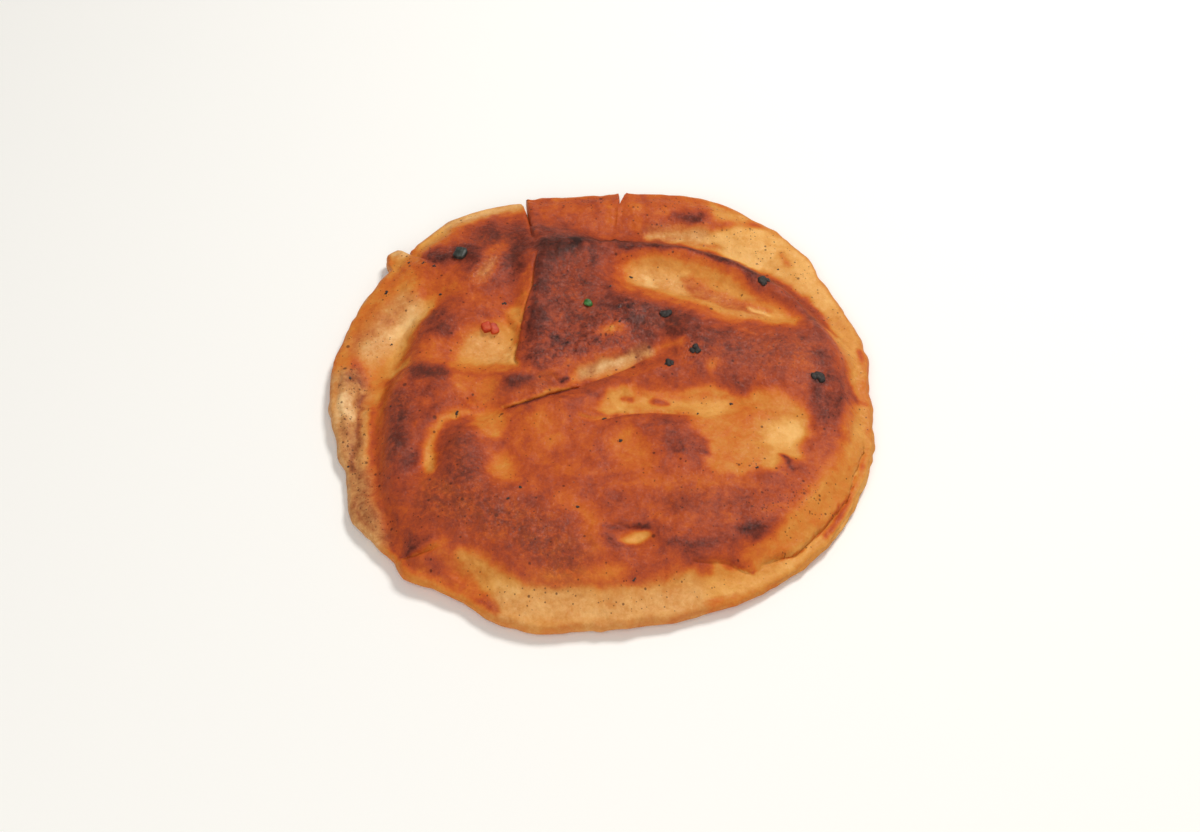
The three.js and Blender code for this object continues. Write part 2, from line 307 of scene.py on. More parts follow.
angle = (np.arctan2(blank_places[:, 1], blank_places[:, 0]) - FIRST_CORNER) % math.tau
sector = np.floor(angle / SIXTH + 1e-9)
turn = np.clip(angle - sector * SIXTH, 0, SIXTH)
sides = np.sin(turn) + np.sin(SIXTH - turn)
bearing = (FIRST_CORNER + (sector + np.sin(turn) / sides) * SIXTH) % math.tau
ring = np.hypot(blank_places[:, 0], blank_places[:, 1]) * sides / math.sin(SIXTH)
row = np.round(-blank_places[:, 2] / ROW_STEP).astype(int)
is_top = row == 0
is_wall = (row > 0) & (ring > 0.999)
is_base = (row == EDGE_ROWS) & ~is_wall

LEFT_SLIT = {"bearing": 108.0, "length": 15, "width": 4.4, "narrows": 3.0, "slant": 0.1, "shoulder": 2.6}
RIGHT_SLIT = {"bearing": 85.1, "length": 9, "width": 3.6, "narrows": 1.3, "slant": 0.05, "shoulder": 0}
SLITS = [LEFT_SLIT, RIGHT_SLIT]
CROWD = 0.72
CROWD_FROM = 0.74
CROWD_REACH = math.radians(2.4)


def bearing_gap(a, b):
    return (a - b + math.pi) % math.tau - math.pi


for slit in SLITS:
    gap = bearing_gap(bearing, math.radians(slit["bearing"]))
    bearing = bearing - CROWD * ease((ring - CROWD_FROM) / 0.14) * gap * np.exp(-((gap / CROWD_REACH) ** 2))
print("top", is_top.sum(), "wall", is_wall.sum(), "underside", is_base.sum())

# %% Plan of the blank
EDGE_ROUND = 3.2
SLIT_ROUND = 0.7
SQUEEZE = 12
LEAN_DEPTH = 18
LEAN_FROM = 60
EAR_TURN = 0.06
EAR_BEARING = math.radians(139.5)
EAR_REACH = math.radians(2.5)
EAR_FROM = 112

radius = outline(bearing)
notch = np.zeros(len(bearing))
round_off = np.full(len(bearing), EDGE_ROUND)
lean = np.zeros(len(bearing))
for number, slit in enumerate(SLITS):
    aside = bearing_gap(bearing, math.radians(slit["bearing"])) * radius
    open_share = np.clip(1 - np.abs(aside) / (slit["width"] / 2), 0, 1)
    ragged = 0.22 * open_share * (1 - open_share) * cloud(np.c_[aside * 2, aside * 0], 0.8, 40 + number)
    notch += slit["length"] * (open_share ** slit["narrows"] + ragged)
    notch += np.where(aside > 0, slit["shoulder"] * np.exp(-((aside / 3.5) ** 2)), 0)
    near = np.exp(-((aside / 2.2) ** 2))
    round_off -= (EDGE_ROUND - SLIT_ROUND) * near
    lean += slit["slant"] * np.exp(-((aside / 5) ** 2))

reach = radius - round_off
from_centre = ring * reach
squeeze_from = radius - np.max([s["length"] for s in SLITS]) - SQUEEZE
push = notch * np.clip((from_centre - squeeze_from) / (reach - squeeze_from), 0, 1)
from_centre = from_centre - push
inwards = np.clip(reach - from_centre, 0, LEAN_DEPTH) * np.clip((from_centre - LEAN_FROM) / 30, 0, 1)
bearing_leant = bearing + lean * inwards / np.maximum(from_centre, 1)
ear_share = np.exp(-((bearing_gap(bearing, EAR_BEARING) / EAR_REACH) ** 4))
bearing_leant -= EAR_TURN * ear_share * np.clip(from_centre - EAR_FROM, 0, 20) / np.maximum(from_centre, 1)
plan = np.c_[np.cos(bearing_leant), np.sin(bearing_leant)] * from_centre[:, None]
print("plan spans", np.ptp(plan, axis=0).round(1), "mm")

# %% [markdown]
# ## Heights from the solid
# A ray shot down at each place reads the solid's own height, folds and all.
# The bits that the solid carries are left out here, since they become pieces of their own further down:
# under each of them the height is spread in from a ring of rays round it.
# The solid's facets are about 3 mm wide, so the heights are evened out over that distance.

# %% Heights
BITS = {
    "charred_cube": (-61.0, 68.4),
    "red_dice": (-46.6, 27.5),
    "green_bit": (-5.5, 37),
    "char_by_the_back_ridge": (70, 51.6),
    "char_on_the_hump": (27, 31),
    "char_on_the_band": (38.5, 11.5),
    "char_by_the_crease": (28, 6),
    "char_on_the_right": (89, -1),
}
CRUMB_CLEAR = 5.5
CUBE_CLEAR = {"charred_cube": 7.2, "red_dice": 6.2}
RING_OF_RAYS = np.radians(np.arange(0, 360, 30))


def solid_height(x, y):
    spot = solid_tree.ray_cast(Vector((x * MM, y * MM, FAR)), Vector((0, 0, -1)))[0]
    return spot.z / MM if spot else np.nan


height = np.full(len(plan), np.nan)
for index in np.flatnonzero(is_top):
    height[index] = solid_height(*plan[index])

for name, (x, y) in BITS.items():
    clear = CUBE_CLEAR.get(name, CRUMB_CLEAR)
    ring_places = np.c_[x + clear * np.cos(RING_OF_RAYS), y + clear * np.sin(RING_OF_RAYS)]
    ring_heights = np.array([solid_height(*p) for p in ring_places])
    under = np.flatnonzero(is_top & (np.hypot(plan[:, 0] - x, plan[:, 1] - y) < clear))
    gaps = np.hypot(*(plan[under][:, None] - ring_places[None]).transpose(2, 0, 1))
    weights = 1 / (gaps + 0.3) ** 2
    height[under] = (weights * ring_heights).sum(1) / weights.sum(1)
print("read", np.isfinite(height).sum(), "heights")

# %% Even out the heights
LEAST_HEIGHT = 3
EVEN_PASSES = 24

ends = np.zeros(len(bread.data.edges) * 2, dtype=int)
bread.data.edges.foreach_get("vertices", ends)
ends = ends.reshape(-1, 2)
top_ends = ends[is_top[ends].all(1)]


def neighbour_mean(values):
    known = ~np.isnan(values)
    filled = np.where(known, values, 0)
    total = np.zeros(len(values))
    count = np.zeros(len(values))
    for a, b in (top_ends.T, top_ends.T[::-1]):
        total += np.bincount(a, filled[b], len(values))
        count += np.bincount(a, known[b].astype(float), len(values))
    return np.where(count > 0, total / np.maximum(count, 1), np.nan)


missing = is_top & (np.isnan(height) | (height < LEAST_HEIGHT))
height[missing] = np.nan
while np.isnan(height[is_top]).any():
    mean = neighbour_mean(height)
    height = np.where(np.isnan(height) & is_top, mean, height)
for _ in range(EVEN_PASSES):
    height = np.where(is_top, 0.5 * height + 0.5 * neighbour_mean(height), height)
print("filled", missing.sum(), "heights")
print("top from", height[is_top].min().round(1), "to", height[is_top].max().round(1), "mm")

# %% [markdown]
# ## Browning
# The pan touches the high places first, so they brown and the hollows stay pale.
# The bread was pressed and turned by hand, though, and its real pattern is not a plain function of height.
# So the browning is painted like a glaze, each touch with a level from 0, pale, to 1, burnt.
# A stroke follows a path with a width, and a patch fills the border that its path goes round.
# A little random warp roughens their borders, as real browning has no clean ones.
# Later touches cover earlier ones, so the large fields come first and the small spots last. A few touches
# are painted light or painted shade instead of browning, and their names and comments say so.

# %% Browning of the back edge
FILL = None
BACK_EDGE = [
    # level, softness, half width at the start and end or FILL for a patch, path
    ("outer left", 0.34, 5, FILL, [(-52, 108), (-50, 92), (-68, 82), (-76, 66), (-78, 50), (-94, 30),
        (-118, 30), (-90, 90)]),
    ("outer left, red", 0.46, 4, (3, 3), [(-84, 76), (-91, 57)]),
    ("below the ear", 0.20, 3, (3, 3), [(-87, 72), (-91, 64)]),
    # partly the rim's own pale colour, partly painted light on the back left edge
    ("left edge of the back", 0.13, 4, (7, 6), [(-37, 107), (-52, 102), (-68, 93), (-80, 84)]),
    ("ear", 0.08, 1.5, (4.2, 4), [(-92.5, 78), (-90, 76.5)]),
    ("back between the slits", 0.57, 4, FILL, [(-34, 116), (-32, 94), (-10, 92), (4, 90), (9, 116)]),
    ("back edge", 0.50, 3, (4, 4), [(-28, 112), (4, 112), (6, 98)]),
    ("right of the slit", 0.47, 3, (4, 4), [(14, 112), (16, 92)]),
    ("back right of the slit", 0.50, 3.5, FILL, [(20, 116), (22, 96), (34, 95), (46, 94), (50, 104),
        (50, 114)]),
    ("dark of the back edge", 0.80, 2.5, (2.5, 3.5), [(33, 97), (43, 96)]),
    ("orange of the back edge", 0.20, 3, FILL, [(49, 108), (50, 95), (64, 92), (70, 98)]),
    ("back right rim", 0.08, 2.6, FILL, [(30, 84), (36, 87), (50, 89), (62, 92), (74, 92), (86, 84),
        (100, 62), (112, 30), (106, 18), (101, 27), (97, 38), (91, 48), (83, 58), (74, 65), (66, 68),
        (58, 72), (48, 79), (40, 82)]),
    ("back rim", 0.27, 2.5, (2, 3.5), [(22, 87), (34, 89), (46, 89)]),
    ("specks of the back right rim", 0.40, 3, (1.5, 1.5), [(80, 76), (82, 70)]),
    ("left end of the back right rim", 0.44, 2.5, (1.5, 1.5), [(40, 84), (52, 81)]),
    ("lower end of the back right rim", 0.22, 3, (3, 3), [(100, 42), (106, 28)]),
]
print(len(BACK_EDGE), "touches on the back edge")

# %% Browning of the crown and the left side
CROWN_AND_LEFT = [
    ("back ridge", 0.74, 3, (5, 6), [(-10, 79), (6, 76), (24, 75), (40, 72), (52, 66)]),
    ("wedge", 0.68, 2.4, FILL, [(55, 61), (62, 52), (69, 44), (78, 38), (84, 31), (91, 26), (97, 30),
        (93, 42), (86, 53), (77, 59), (68, 64)]),
    ("crown", 0.72, 6, FILL, [(-28, 92), (-27, 60), (-27, 34), (-30, 6), (-14, 8), (2, 18), (16, 30),
        (8, 40), (2, 54), (0, 70), (-4, 84)]),
    ("crown, right", 0.67, 4, (4, 4), [(3, 68), (4, 56)]),
    ("crown, top", 0.93, 4, (4, 4), [(-22, 70), (-8, 74), (6, 74), (16, 73.5)]),
    ("crown, front", 0.80, 2.5, (2.5, 2.5), [(-28, 6), (-24, 2)]),
    ("left shoulder", 0.74, 4, FILL, [(-58, 88), (-46, 92), (-33, 91), (-30, 74), (-31, 60), (-37, 50),
        (-46, 48), (-56, 56), (-60, 70)]),
    ("left of the fold", 0.79, 3, (2.5, 2.5), [(-37, 80), (-36, 63)]),
    ("around the char", 0.82, 3, (5, 5), [(-73, 70), (-60, 71)]),
    ("orange of the shoulder", 0.53, 3, (4, 3.2), [(-46, 74), (-48, 62), (-53, 52)]),
    ("left shoulder, orange", 0.52, 3.5, FILL, [(-82, 66), (-72, 60), (-60, 58), (-60, 48), (-68, 42),
        (-76, 50)]),
    ("above the bay", 0.57, 4, FILL, [(-62, 47), (-44, 48), (-40, 36), (-56, 34), (-64, 38)]),
    ("left brown", 0.75, 3, FILL, [(-73, 39), (-66, 38), (-60, 32), (-62, 22), (-68, 18), (-74, 23),
        (-73, 31)]),
    ("left brown, low", 0.47, 4, FILL, [(-76, 20), (-66, 20), (-62, 8), (-66, 5), (-74, 8)]),
    ("left stripe", 0.22, 3.4, FILL, [(-70, 46), (-78, 47), (-86, 39), (-94, 31), (-101, 27), (-104, 18),
        (-97, 9), (-88, 8), (-82, 20), (-77, 31), (-71, 39)]),
    ("left stripe, palest", 0.08, 2, (1.5, 2.5), [(-81, 36.5), (-90, 29)]),
    ("left rim at the back", 0.27, 3, (4, 4), [(-108, 26), (-109, 6)]),
    ("left rim, mauve", 0.50, 1.8, (1.2, 1.4), [(-103, 12), (-102.5, 8), (-102, 3)]),
    ("under the stripe", 0.30, 3.5, (4, 3), [(-93, 12), (-94, -4)]),
    # painted light: lifts the shade of the valley beside the left step
    ("painted light by the left step", 0.25, 3, (2.5, 2.5), [(-88, 8), (-80, 10)]),
    ("bay, orange edge", 0.43, 1.8, FILL, [(-63, 4), (-63, 17), (-58, 26), (-51, 31), (-41, 33),
        (-35, 32), (-32.5, 20), (-32.5, 3), (-43, 2), (-55, 3)]),
    ("bay", 0.28, 1.8, FILL, [(-59, 9), (-59, 17), (-55, 24), (-50, 28), (-42, 30), (-36.5, 28),
        (-35, 18), (-34, 7), (-43, 8)]),
    ("bay, palest", 0.16, 2, (1, 1.5), [(-37, 15), (-36, 9)]),
    ("tail of the bay", 0.47, 2.2, FILL, [(-30, 60), (-33, 48), (-37, 39), (-40, 33), (-32, 28),
        (-29, 40), (-28, 50)]),
    ("foot of the tail", 0.28, 2, (2.4, 2.4), [(-37, 36), (-35.5, 30)]),
    ("fold of the crown", 0.77, 1.8, (2.5, 3), [(-21, 66), (-23, 50), (-25, 36), (-26, 22), (-27, 6)]),
    # painted shadow: the dark line that the fold of the crown casts on its left side
    ("painted shadow of the fold's edge", 0.82, 1.2, (0.7, 0.9), [(-25, 66), (-25.4, 58), (-26.6, 44), (-28.6, 33),
        (-31, 20)]),
    # painted shadow of the same fold, along the right of the bay
    ("painted shadow along the bay's right", 0.66, 1.4, (1, 1), [(-32, 30), (-32, 18), (-32, 4)]),
]
print(len(CROWN_AND_LEFT), "touches on the crown and the left side")

# %% Browning of the back hollow and the band
HOLLOW_AND_BAND = [
    ("hollow, orange edge", 0.47, 1.6, FILL, [(6, 62.5), (9, 68), (20, 71), (34, 69.5), (46, 66),
        (55, 60.6), (62, 54), (67, 47.5), (76, 41.5), (86, 35), (84, 27), (72, 25.6), (58, 26.6),
        (48, 30.6), (34, 35.2), (24, 40.2), (12, 47.4), (7, 55)]),
    ("hollow", 0.25, 1.8, FILL, [(10, 63), (14, 66.5), (24, 68), (33, 65.5), (42, 63), (50, 59.5),
        (56, 55), (62, 48.5), (67, 44.5), (75, 39.5), (83, 34), (82, 29.5), (72, 29), (60, 30.5),
        (50, 34.5), (40, 38.5), (32, 41.5), (25, 45.5), (18, 49.5), (12, 55)]),
    ("tongue of the hollow", 0.52, 2, FILL, [(33, 57), (40, 58), (46, 53), (53, 49), (62, 44), (72, 38.5),
        (70, 35), (60, 37), (52, 38.5), (45, 42), (38, 46.5)]),
    ("glow of the tongue", 0.36, 2, (1.5, 1.5), [(42.5, 56), (50.5, 53)]),
    # painted highlights: bright streaks on the hollow and on its tail where the light falls
    ("painted highlight on the hollow", 0.06, 1.6, (1.5, 2.2), [(20.5, 59.5), (21.5, 52.5)]),
    ("painted highlight on the hollow's tail", 0.08, 1.6, (1.2, 1.4), [(63.5, 39.5), (70.5, 36.5)]),
    ("crest", 0.78, 1.6, (2.2, 2.4), [(-6, 75.5), (10, 74.5), (24, 74), (38, 71.5), (49, 67), (58, 61.5),
        (66, 56.5)]),
    # browned crust in painted shade: the near slope of the ridge faces away from the light
    ("ridge's near slope in painted shade", 0.76, 2, (2, 0.8), [(-8, 72), (8, 72), (22, 73), (36, 70.5), (47, 66)]),
    ("hump", 0.76, 3, FILL, [(0, 54), (6, 44), (14, 38), (26, 36), (38, 31), (48, 22), (40, 15), (22, 18),
        (12, 24), (4, 34)]),
    ("orange of the hump", 0.62, 2, (2, 2), [(28, 19)]),
    ("wrinkles", 0.71, 3, FILL, [(-24, 8), (-20, 18), (-4, 26), (8, 24), (12, 18), (-2, 12), (-14, 7)]),
    ("pit of the crown", 0.92, 1.6, (1.4, 1.4), [(-18, 18), (-16, 16)]),
    # painted glints: the oily wrinkles are paler here, where they catch the light
    ("painted glints on the wrinkles", 0.34, 2.5, (2.6, 3), [(2, 22), (8, 25)]),
    ("right of the wrinkles", 0.80, 2, (2, 2), [(13, 19), (20, 18)]),
    ("band", 0.66, 4, FILL, [(44, 30), (60, 26), (80, 26), (94, 24), (98, 8), (84, 4), (56, -2), (36, -2),
        (38, 14)]),
    ("band, left", 0.80, 2.5, (2, 2), [(40, 18), (44, 16)]),
    ("band, low", 0.82, 3, (2.8, 2.8), [(55, 0), (59, -6)]),
    ("band, right", 0.75, 3, (3.2, 4), [(93, 13), (95, -6)]),
    ("right rim", 0.21, 2, (3.6, 4.2), [(101, 25), (106, 12), (109, 0)]),
    ("right rim, inner", 0.25, 2, (2, 2), [(96, 29), (101, 18)]),
    ("right rim, outer", 0.32, 2, (1.5, 2), [(108, 8), (109, -3)]),
    ("under the hump", 0.72, 2, (1.8, 2), [(6, 14.5), (20, 16), (33, 14)]),
    ("above the crease", 0.52, 2, (2, 2), [(-14, 5), (-4, 9.5), (6, 13)]),
    ("spot on the band", 0.34, 3, (2.5, 2.5), [(45, 4)]),
]
print(len(HOLLOW_AND_BAND), "touches on the hollow and the band")

# %% [markdown]
# ## Browning of the front half
# The front is browned in the same way. It has a pale crescent on the left, a crease across the middle with
# a pale band under it, a shallow pale place on the right and a rim that stayed light.
# The left rim was squeezed into folds, so its grooves are pressed in further down and the shade in them is
# painted dark as well.

# %% Browning of the left rim
LEFT_RIM = [
    ("left rim", 0.33, 3, FILL, [(-118, 4), (-93, 2), (-93, -30), (-90, -50), (-82, -78), (-100, -70),
        (-110, -40)]),
    ("left rim, bulge", 0.05, 2.5, (4, 4), [(-105, -7), (-104, -12), (-104, -18)]),
    ("left rim, below the bulge", 0.44, 3, (3, 2), [(-104, -20), (-103, -36)]),
    # painted shade in the two grooves of the left rim, which are also pressed in below
    ("painted shade in the left rim's groove", 0.80, 2, (0.8, 1.2), [(-99, -2), (-98, -16), (-99, -28), (-100, -40)]),
    ("left rim, inner", 0.20, 1.6, (0.8, 1.6), [(-95.5, -12), (-95, -29), (-95, -42)]),
    ("painted shade in the left rim's second groove", 0.62, 1.6, (0.5, 0.8), [(-93, -10), (-91.5, -28), (-91.5, -40)]),
    ("specks of the bulge", 0.30, 1.6, (0.8, 1), [(-105, -19), (-102, -22)]),
    ("left rim, pad", 0.48, 3, FILL, [(-104, -42), (-92, -42), (-89, -56), (-83, -74), (-90, -78),
        (-100, -62)]),
    ("left rim, edge", 0.66, 2.5, (1.5, 3), [(-103, -38), (-101, -52), (-96, -66), (-88, -76)]),
    ("left of the middle", 0.66, 4, FILL, [(-80, -2), (-86, -10), (-89, -22), (-88, -42), (-84, -58),
        (-76, -74), (-60, -76), (-64, -50), (-74, -30), (-70, -14), (-62, -6), (-64, 4), (-72, 4)]),
    ("left stripe of soot", 0.68, 3, (3, 4), [(-81, -10), (-82, -28), (-80, -42)]),
    ("upper spot of soot", 0.71, 4, (3, 2.5), [(-82, -13), (-80, -21)]),
    ("lower spot of soot", 0.75, 4, (3.5, 3.5), [(-82, -31), (-81, -39)]),
    ("soot over the stripe", 0.76, 3.5, (2.6, 2.8), [(-74.5, 2.5), (-66, 0)]),
    ("left step, red", 0.52, 4, (1.5, 2), [(-85, 0), (-88, -14), (-88, -32), (-87, -48)]),
    ("shadow of the left step", 0.66, 2.5, (0.8, 1.4), [(-90, -36), (-87, -52), (-84, -62), (-81, -72)]),
    ("left, low", 0.66, 4, (4, 4), [(-72, -70), (-66, -76)]),
]
print(len(LEFT_RIM), "touches on the left rim")

# %% Browning of the middle
MIDDLE = [
    ("orange over the crescent", 0.43, 3, FILL, [(-60, 2), (-46, 3), (-40, -4), (-44, -12), (-55, -14),
        (-60, -6)]),
    ("above the crescent", 0.58, 2.5, (2, 2), [(-65, -10), (-53, -10.5)]),
    ("lower left", 0.61, 6, FILL, [(-72, -50), (-46, -54), (-34, -58), (-20, -62), (-8, -78), (-2, -94),
        (-30, -96), (-46, -84), (-62, -78), (-74, -66)]),
    ("middle", 0.57, 6, FILL, [(-44, -18), (-20, -16), (4, -22), (20, -44), (24, -56), (4, -52),
        (-14, -56), (-30, -50)]),
    ("middle, palest", 0.46, 4, (4, 4), [(-26, -22), (-19, -34)]),
    ("middle, orange", 0.40, 5, (6, 6), [(10, -34), (15, -44)]),
    ("middle, dark", 0.58, 3, (3, 3), [(-3, -28), (-1, -42)]),
    ("middle, low dark", 0.70, 3, (2.5, 2.5), [(-3, -45), (2, -46)]),
    ("lower middle", 0.63, 6, FILL, [(-4, -58), (26, -60), (48, -61), (66, -58), (74, -56), (70, -65),
        (64, -72), (50, -79), (28, -84), (2, -88), (-6, -74)]),
    ("over the lower middle", 0.47, 4, (2.5, 2.5), [(14, -53), (34, -54), (58, -54)]),
    ("lower middle, red", 0.55, 4, (3, 3), [(12, -64), (20, -68)]),
    ("lower right", 0.60, 4, FILL, [(60, -57), (74, -57), (74, -62), (66, -70), (58, -74)]),
]
print(len(MIDDLE), "touches on the middle")

# %% Browning of the crease and the right shallow
CREASE_AND_SHALLOW = [
    ("south lip", 0.62, 2.5, FILL, [(-34, -17), (-26, -12.5), (-14, -7), (-4, -4.5), (0, -8), (-1, -13),
        (-4, -18), (-12, -18), (-24, -17), (-32, -20)]),
    ("shadow of the south lip", 0.92, 1.4, (1.6, 0.8), [(-34.5, -15.6), (-29, -13.8), (-19.5, -9.2),
        (-10, -5.6)]),
    ("north tongue", 0.56, 1.6, FILL, [(-44, -10), (-38, -5), (-30, -1), (-20, 2), (-11, 2), (-9, -2.5),
        (-20, -6.5), (-32, -11), (-39, -13)]),
    ("top of the tongue", 0.78, 2, (2, 2), [(-38, -4), (-30, -3)]),
    ("pale lip of the tongue", 0.24, 0.8, (0.4, 0.7), [(-40, -14.5), (-33.5, -12.6), (-27.5, -9.6),
        (-21, -6.6), (-14, -4.5)]),
    ("crease", 0.35, 1.5, FILL, [(-15, -3.6), (-6, -1.5), (4, 1.5), (11, 6), (14, 9), (12.6, 11.4),
        (8, 11.8), (3, 10), (-4, 7), (-10, 3.6), (-15, -0.6)]),
    ("crease, palest", 0.20, 1.5, (0.8, 1.2), [(0.5, 5.6), (9, 9.6)]),
    ("right of the crease", 0.46, 2, (1.5, 1.5), [(19, 13), (26, 15.5), (34, 17)]),
    ("brown of the crease", 0.54, 1.4, (1.2, 1.2), [(-1.5, 7), (-4, 3)]),
    ("pits of the curl", 0.86, 0.7, (0.5, 0.5), [(-17, -2.2), (-14.2, -1)]),
    ("under the crease", 0.25, 2.4, FILL, [(0, -12), (4, -7), (13, -6), (20, -8), (32, -6), (48, -4.5),
        (55, -9), (52, -20), (44, -22.5), (32, -18.5), (19, -18), (4, -19.8), (-2, -17)]),
    ("pale line under the crease", 0.36, 0.8, (0.3, 0.8), [(-10, -20.5), (-4.5, -22), (2.5, -20.5)]),
    ("top of the pale band", 0.44, 2.4, (1.2, 1.4), [(15, -8.5), (30, -8.5), (50, -8)]),
    ("pale streak", 0.17, 1.5, (1.5, 1), [(2, -17.5), (12, -17.5)]),
    ("lump under the crease", 0.60, 1.2, (1.1, 1.1), [(8.5, -11.4), (13, -11.8)]),
    ("spot under the crease", 0.64, 1.3, (1.8, 1.8), [(20.5, -12.4), (25.5, -12.6)]),
    ("right shallow", 0.36, 3, FILL, [(52, -10), (62, -7), (72, -6), (80, -11), (84, -20), (82, -30),
        (79, -36), (70, -39), (66, -46), (56, -50), (44, -50), (39, -43), (43, -34), (36, -27), (38, -20),
        (50, -18)]),
    ("right shallow, orange", 0.39, 3, (3, 3), [(56, -13), (60, -20), (44, -26)]),
    ("right shallow, palest", 0.12, 4.6, FILL, [(66, -24), (78, -21), (82, -28), (77, -37), (67, -35)]),
    ("right shallow, low", 0.38, 3, (4, 4), [(56, -42), (66, -40)]),
    ("right shallow, lower pale", 0.20, 3, (2.5, 3.4), [(66, -45), (72, -38), (80, -38)]),
    ("middle patch", 0.68, 2.4, FILL, [(20, -25), (27, -23), (34, -28), (41, -35), (43, -41), (37, -45),
        (30, -42), (25, -34)]),
    ("middle patch, edge", 0.76, 1.5, (1.5, 1.5), [(30, -40), (40, -40)]),
]
print(len(CREASE_AND_SHALLOW), "touches on the crease and the right shallow")

# %% Browning of the right side and the front edge
RIGHT_AND_FRONT_EDGE = [
    ("right arc", 0.77, 2.4, FILL, [(86, -1), (99, 3), (101, -10), (97, -24), (90, -28), (85, -24),
        (85, -12)]),
    ("right arc, low", 0.58, 3, FILL, [(83, -26), (92, -26), (93, -40), (84, -46), (80, -40)]),
    ("right shoulder", 0.45, 2.5, (2, 3), [(101, -12), (98, -28), (94, -40), (86, -50)]),
    ("right rim, low", 0.21, 2.5, (4, 5), [(107, -10), (104, -30), (98, -46), (90, -58), (82, -70)]),
    ("front right shoulder", 0.25, 4, FILL, [(74, -64), (82, -57), (91, -44), (97, -48), (88, -66),
        (78, -79), (64, -86), (54, -85), (66, -77)]),
    ("dark of the right", 0.86, 1.4, (1.2, 1.4), [(72, -41), (74.5, -46)]),
    # partly the rim's own pale colour, partly painted light on the right front of the rim
    ("front right rim", 0.12, 2, (3, 5), [(84, -74), (72, -85), (60, -93), (46, -96), (34, -99)]),
    ("front seam", 0.62, 0.8, (0.3, 0.5), [(38, -88), (48, -87), (54, -88.5), (58, -90.5)]),
    ("front right seam", 0.60, 0.8, (0.3, 0.4), [(58, -90.5), (61, -86.5), (68, -82.5), (75, -81),
        (82, -74), (89, -65), (97, -54), (101, -44)]),
    ("over the front seam", 0.20, 2, (2, 2), [(44, -90), (55, -91)]),
    ("beside the seam", 0.20, 2, (1.8, 1.8), [(59, -86.5), (68, -83.5)]),
    ("front rim", 0.19, 2.6, FILL, [(-44, -94), (-34, -96), (-20, -99), (-4, -98.5), (12, -98),
        (24, -95.5), (36, -91), (40, -106), (20, -114), (-8, -116), (-36, -112)]),
    ("front edge of the middle", 0.42, 2.5, (2, 3), [(-26, -95), (-6, -96), (14, -94), (30, -90)]),
    ("front left flap", 0.48, 3, FILL, [(-82, -82), (-70, -82), (-60, -80), (-52, -90), (-42, -102),
        (-56, -102), (-74, -92)]),
    ("red of the flap", 0.60, 2.4, (2, 2), [(-64, -87), (-57, -93)]),
    ("front left wedge", 0.22, 2.4, (3, 5), [(-52, -86), (-46, -91), (-36, -98)]),
    ("front left, palest", 0.08, 2.4, (2, 3), [(-39, -96), (-33, -99)]),
    # painted shade in the tear, under the edge of the flap
    ("front left tear", 0.78, 1, (1.2, 0.6), [(-84, -80), (-78, -81.5), (-72, -82), (-66, -81)]),
]
print(len(RIGHT_AND_FRONT_EDGE), "touches on the right side and the front edge")

# %% Browning of the crescent and the last spots
CRESCENT_AND_SPOTS = [
    ("crescent, orange edge", 0.54, 1.6, (2.8, 3.6), [(-53, -15.2), (-60, -18), (-65, -23), (-68, -28),
        (-68.6, -45)]),
    ("crescent", 0.29, 1.6, (1, 2.2), [(-53.5, -17), (-59.5, -20), (-64, -23.8), (-67, -28),
        (-68.2, -32.5), (-68.2, -38), (-67.5, -45)]),
    ("right of the crescent", 0.38, 3, FILL, [(-51, -16), (-45, -13.5), (-39.5, -17), (-38, -26),
        (-42, -32.5), (-48, -30), (-51, -25)]),
    ("left blob", 0.70, 3, FILL, [(-63, -33), (-59, -27.5), (-53.5, -24), (-51, -31), (-48, -40),
        (-47, -46), (-49, -55), (-57, -56), (-62, -46)]),
    ("pale spot", 0.36, 3.6, FILL, [(-45, -38), (-38, -38), (-34, -44), (-33, -52), (-39, -55),
        (-44, -48)]),
    ("low spot", 0.47, 3.5, (3.5, 3), [(-14, -62), (-5, -70), (-2, -84)]),
    ("front spot", 0.19, 1.5, (1.8, 2.2), [(9, -80), (16, -78.5)]),
    ("over the front spot", 0.82, 1.2, (1, 1.2), [(2, -76), (9, -74.5), (18, -75.5)]),
    ("left of the front spot", 0.68, 2, (2, 2), [(3, -80), (4, -85)]),
    ("darkest spot", 0.97, 4, (2, 2), [(54, -76), (61.5, -75.5)]),
    ("left of the darkest spot", 0.78, 3, (1.5, 1.5), [(28, -83), (40, -83), (50, -79)]),
    ("foot of the middle", 0.63, 2.5, (3, 3), [(12, -94), (20, -91), (32, -88)]),
]
print(len(CRESCENT_AND_SPOTS), "touches on the crescent and the last spots")

# %% Paint the browning
BASE_LEVEL = 0.62
WARP = 1.1
warp = np.c_[cloud(plan, 7, 1) + 0.6 * cloud(plan, 3, 2), cloud(plan, 7, 3) + 0.6 * cloud(plan, 3, 4)]
warped = plan + WARP * warp


def inside(plan, border):
    """Which points lie within the closed border: a ray to the right crosses it an odd number of times."""
    x, y = plan.T
    odd = np.zeros(len(plan), bool)
    for (x0, y0), (x1, y1) in zip(border, border[1:] + border[:1]):
        if y0 != y1:
            crosses = (y0 > y) != (y1 > y)
            odd ^= crosses & (x < x0 + (x1 - x0) * (y - y0) / (y1 - y0))
    return odd


def paint(layer, touches):
    for _, level, soft, widths, path in touches:
        if widths is FILL:
            distance = along(warped, path + path[:1])[0]
            depth = np.where(inside(warped, path), distance, -distance)
        else:
            distance, share, _, _ = along(warped, path)
            depth = widths[0] + (widths[1] - widths[0]) * share - distance
        layer += (level - layer) * ease((depth + soft) / (2 * soft))
    return layer


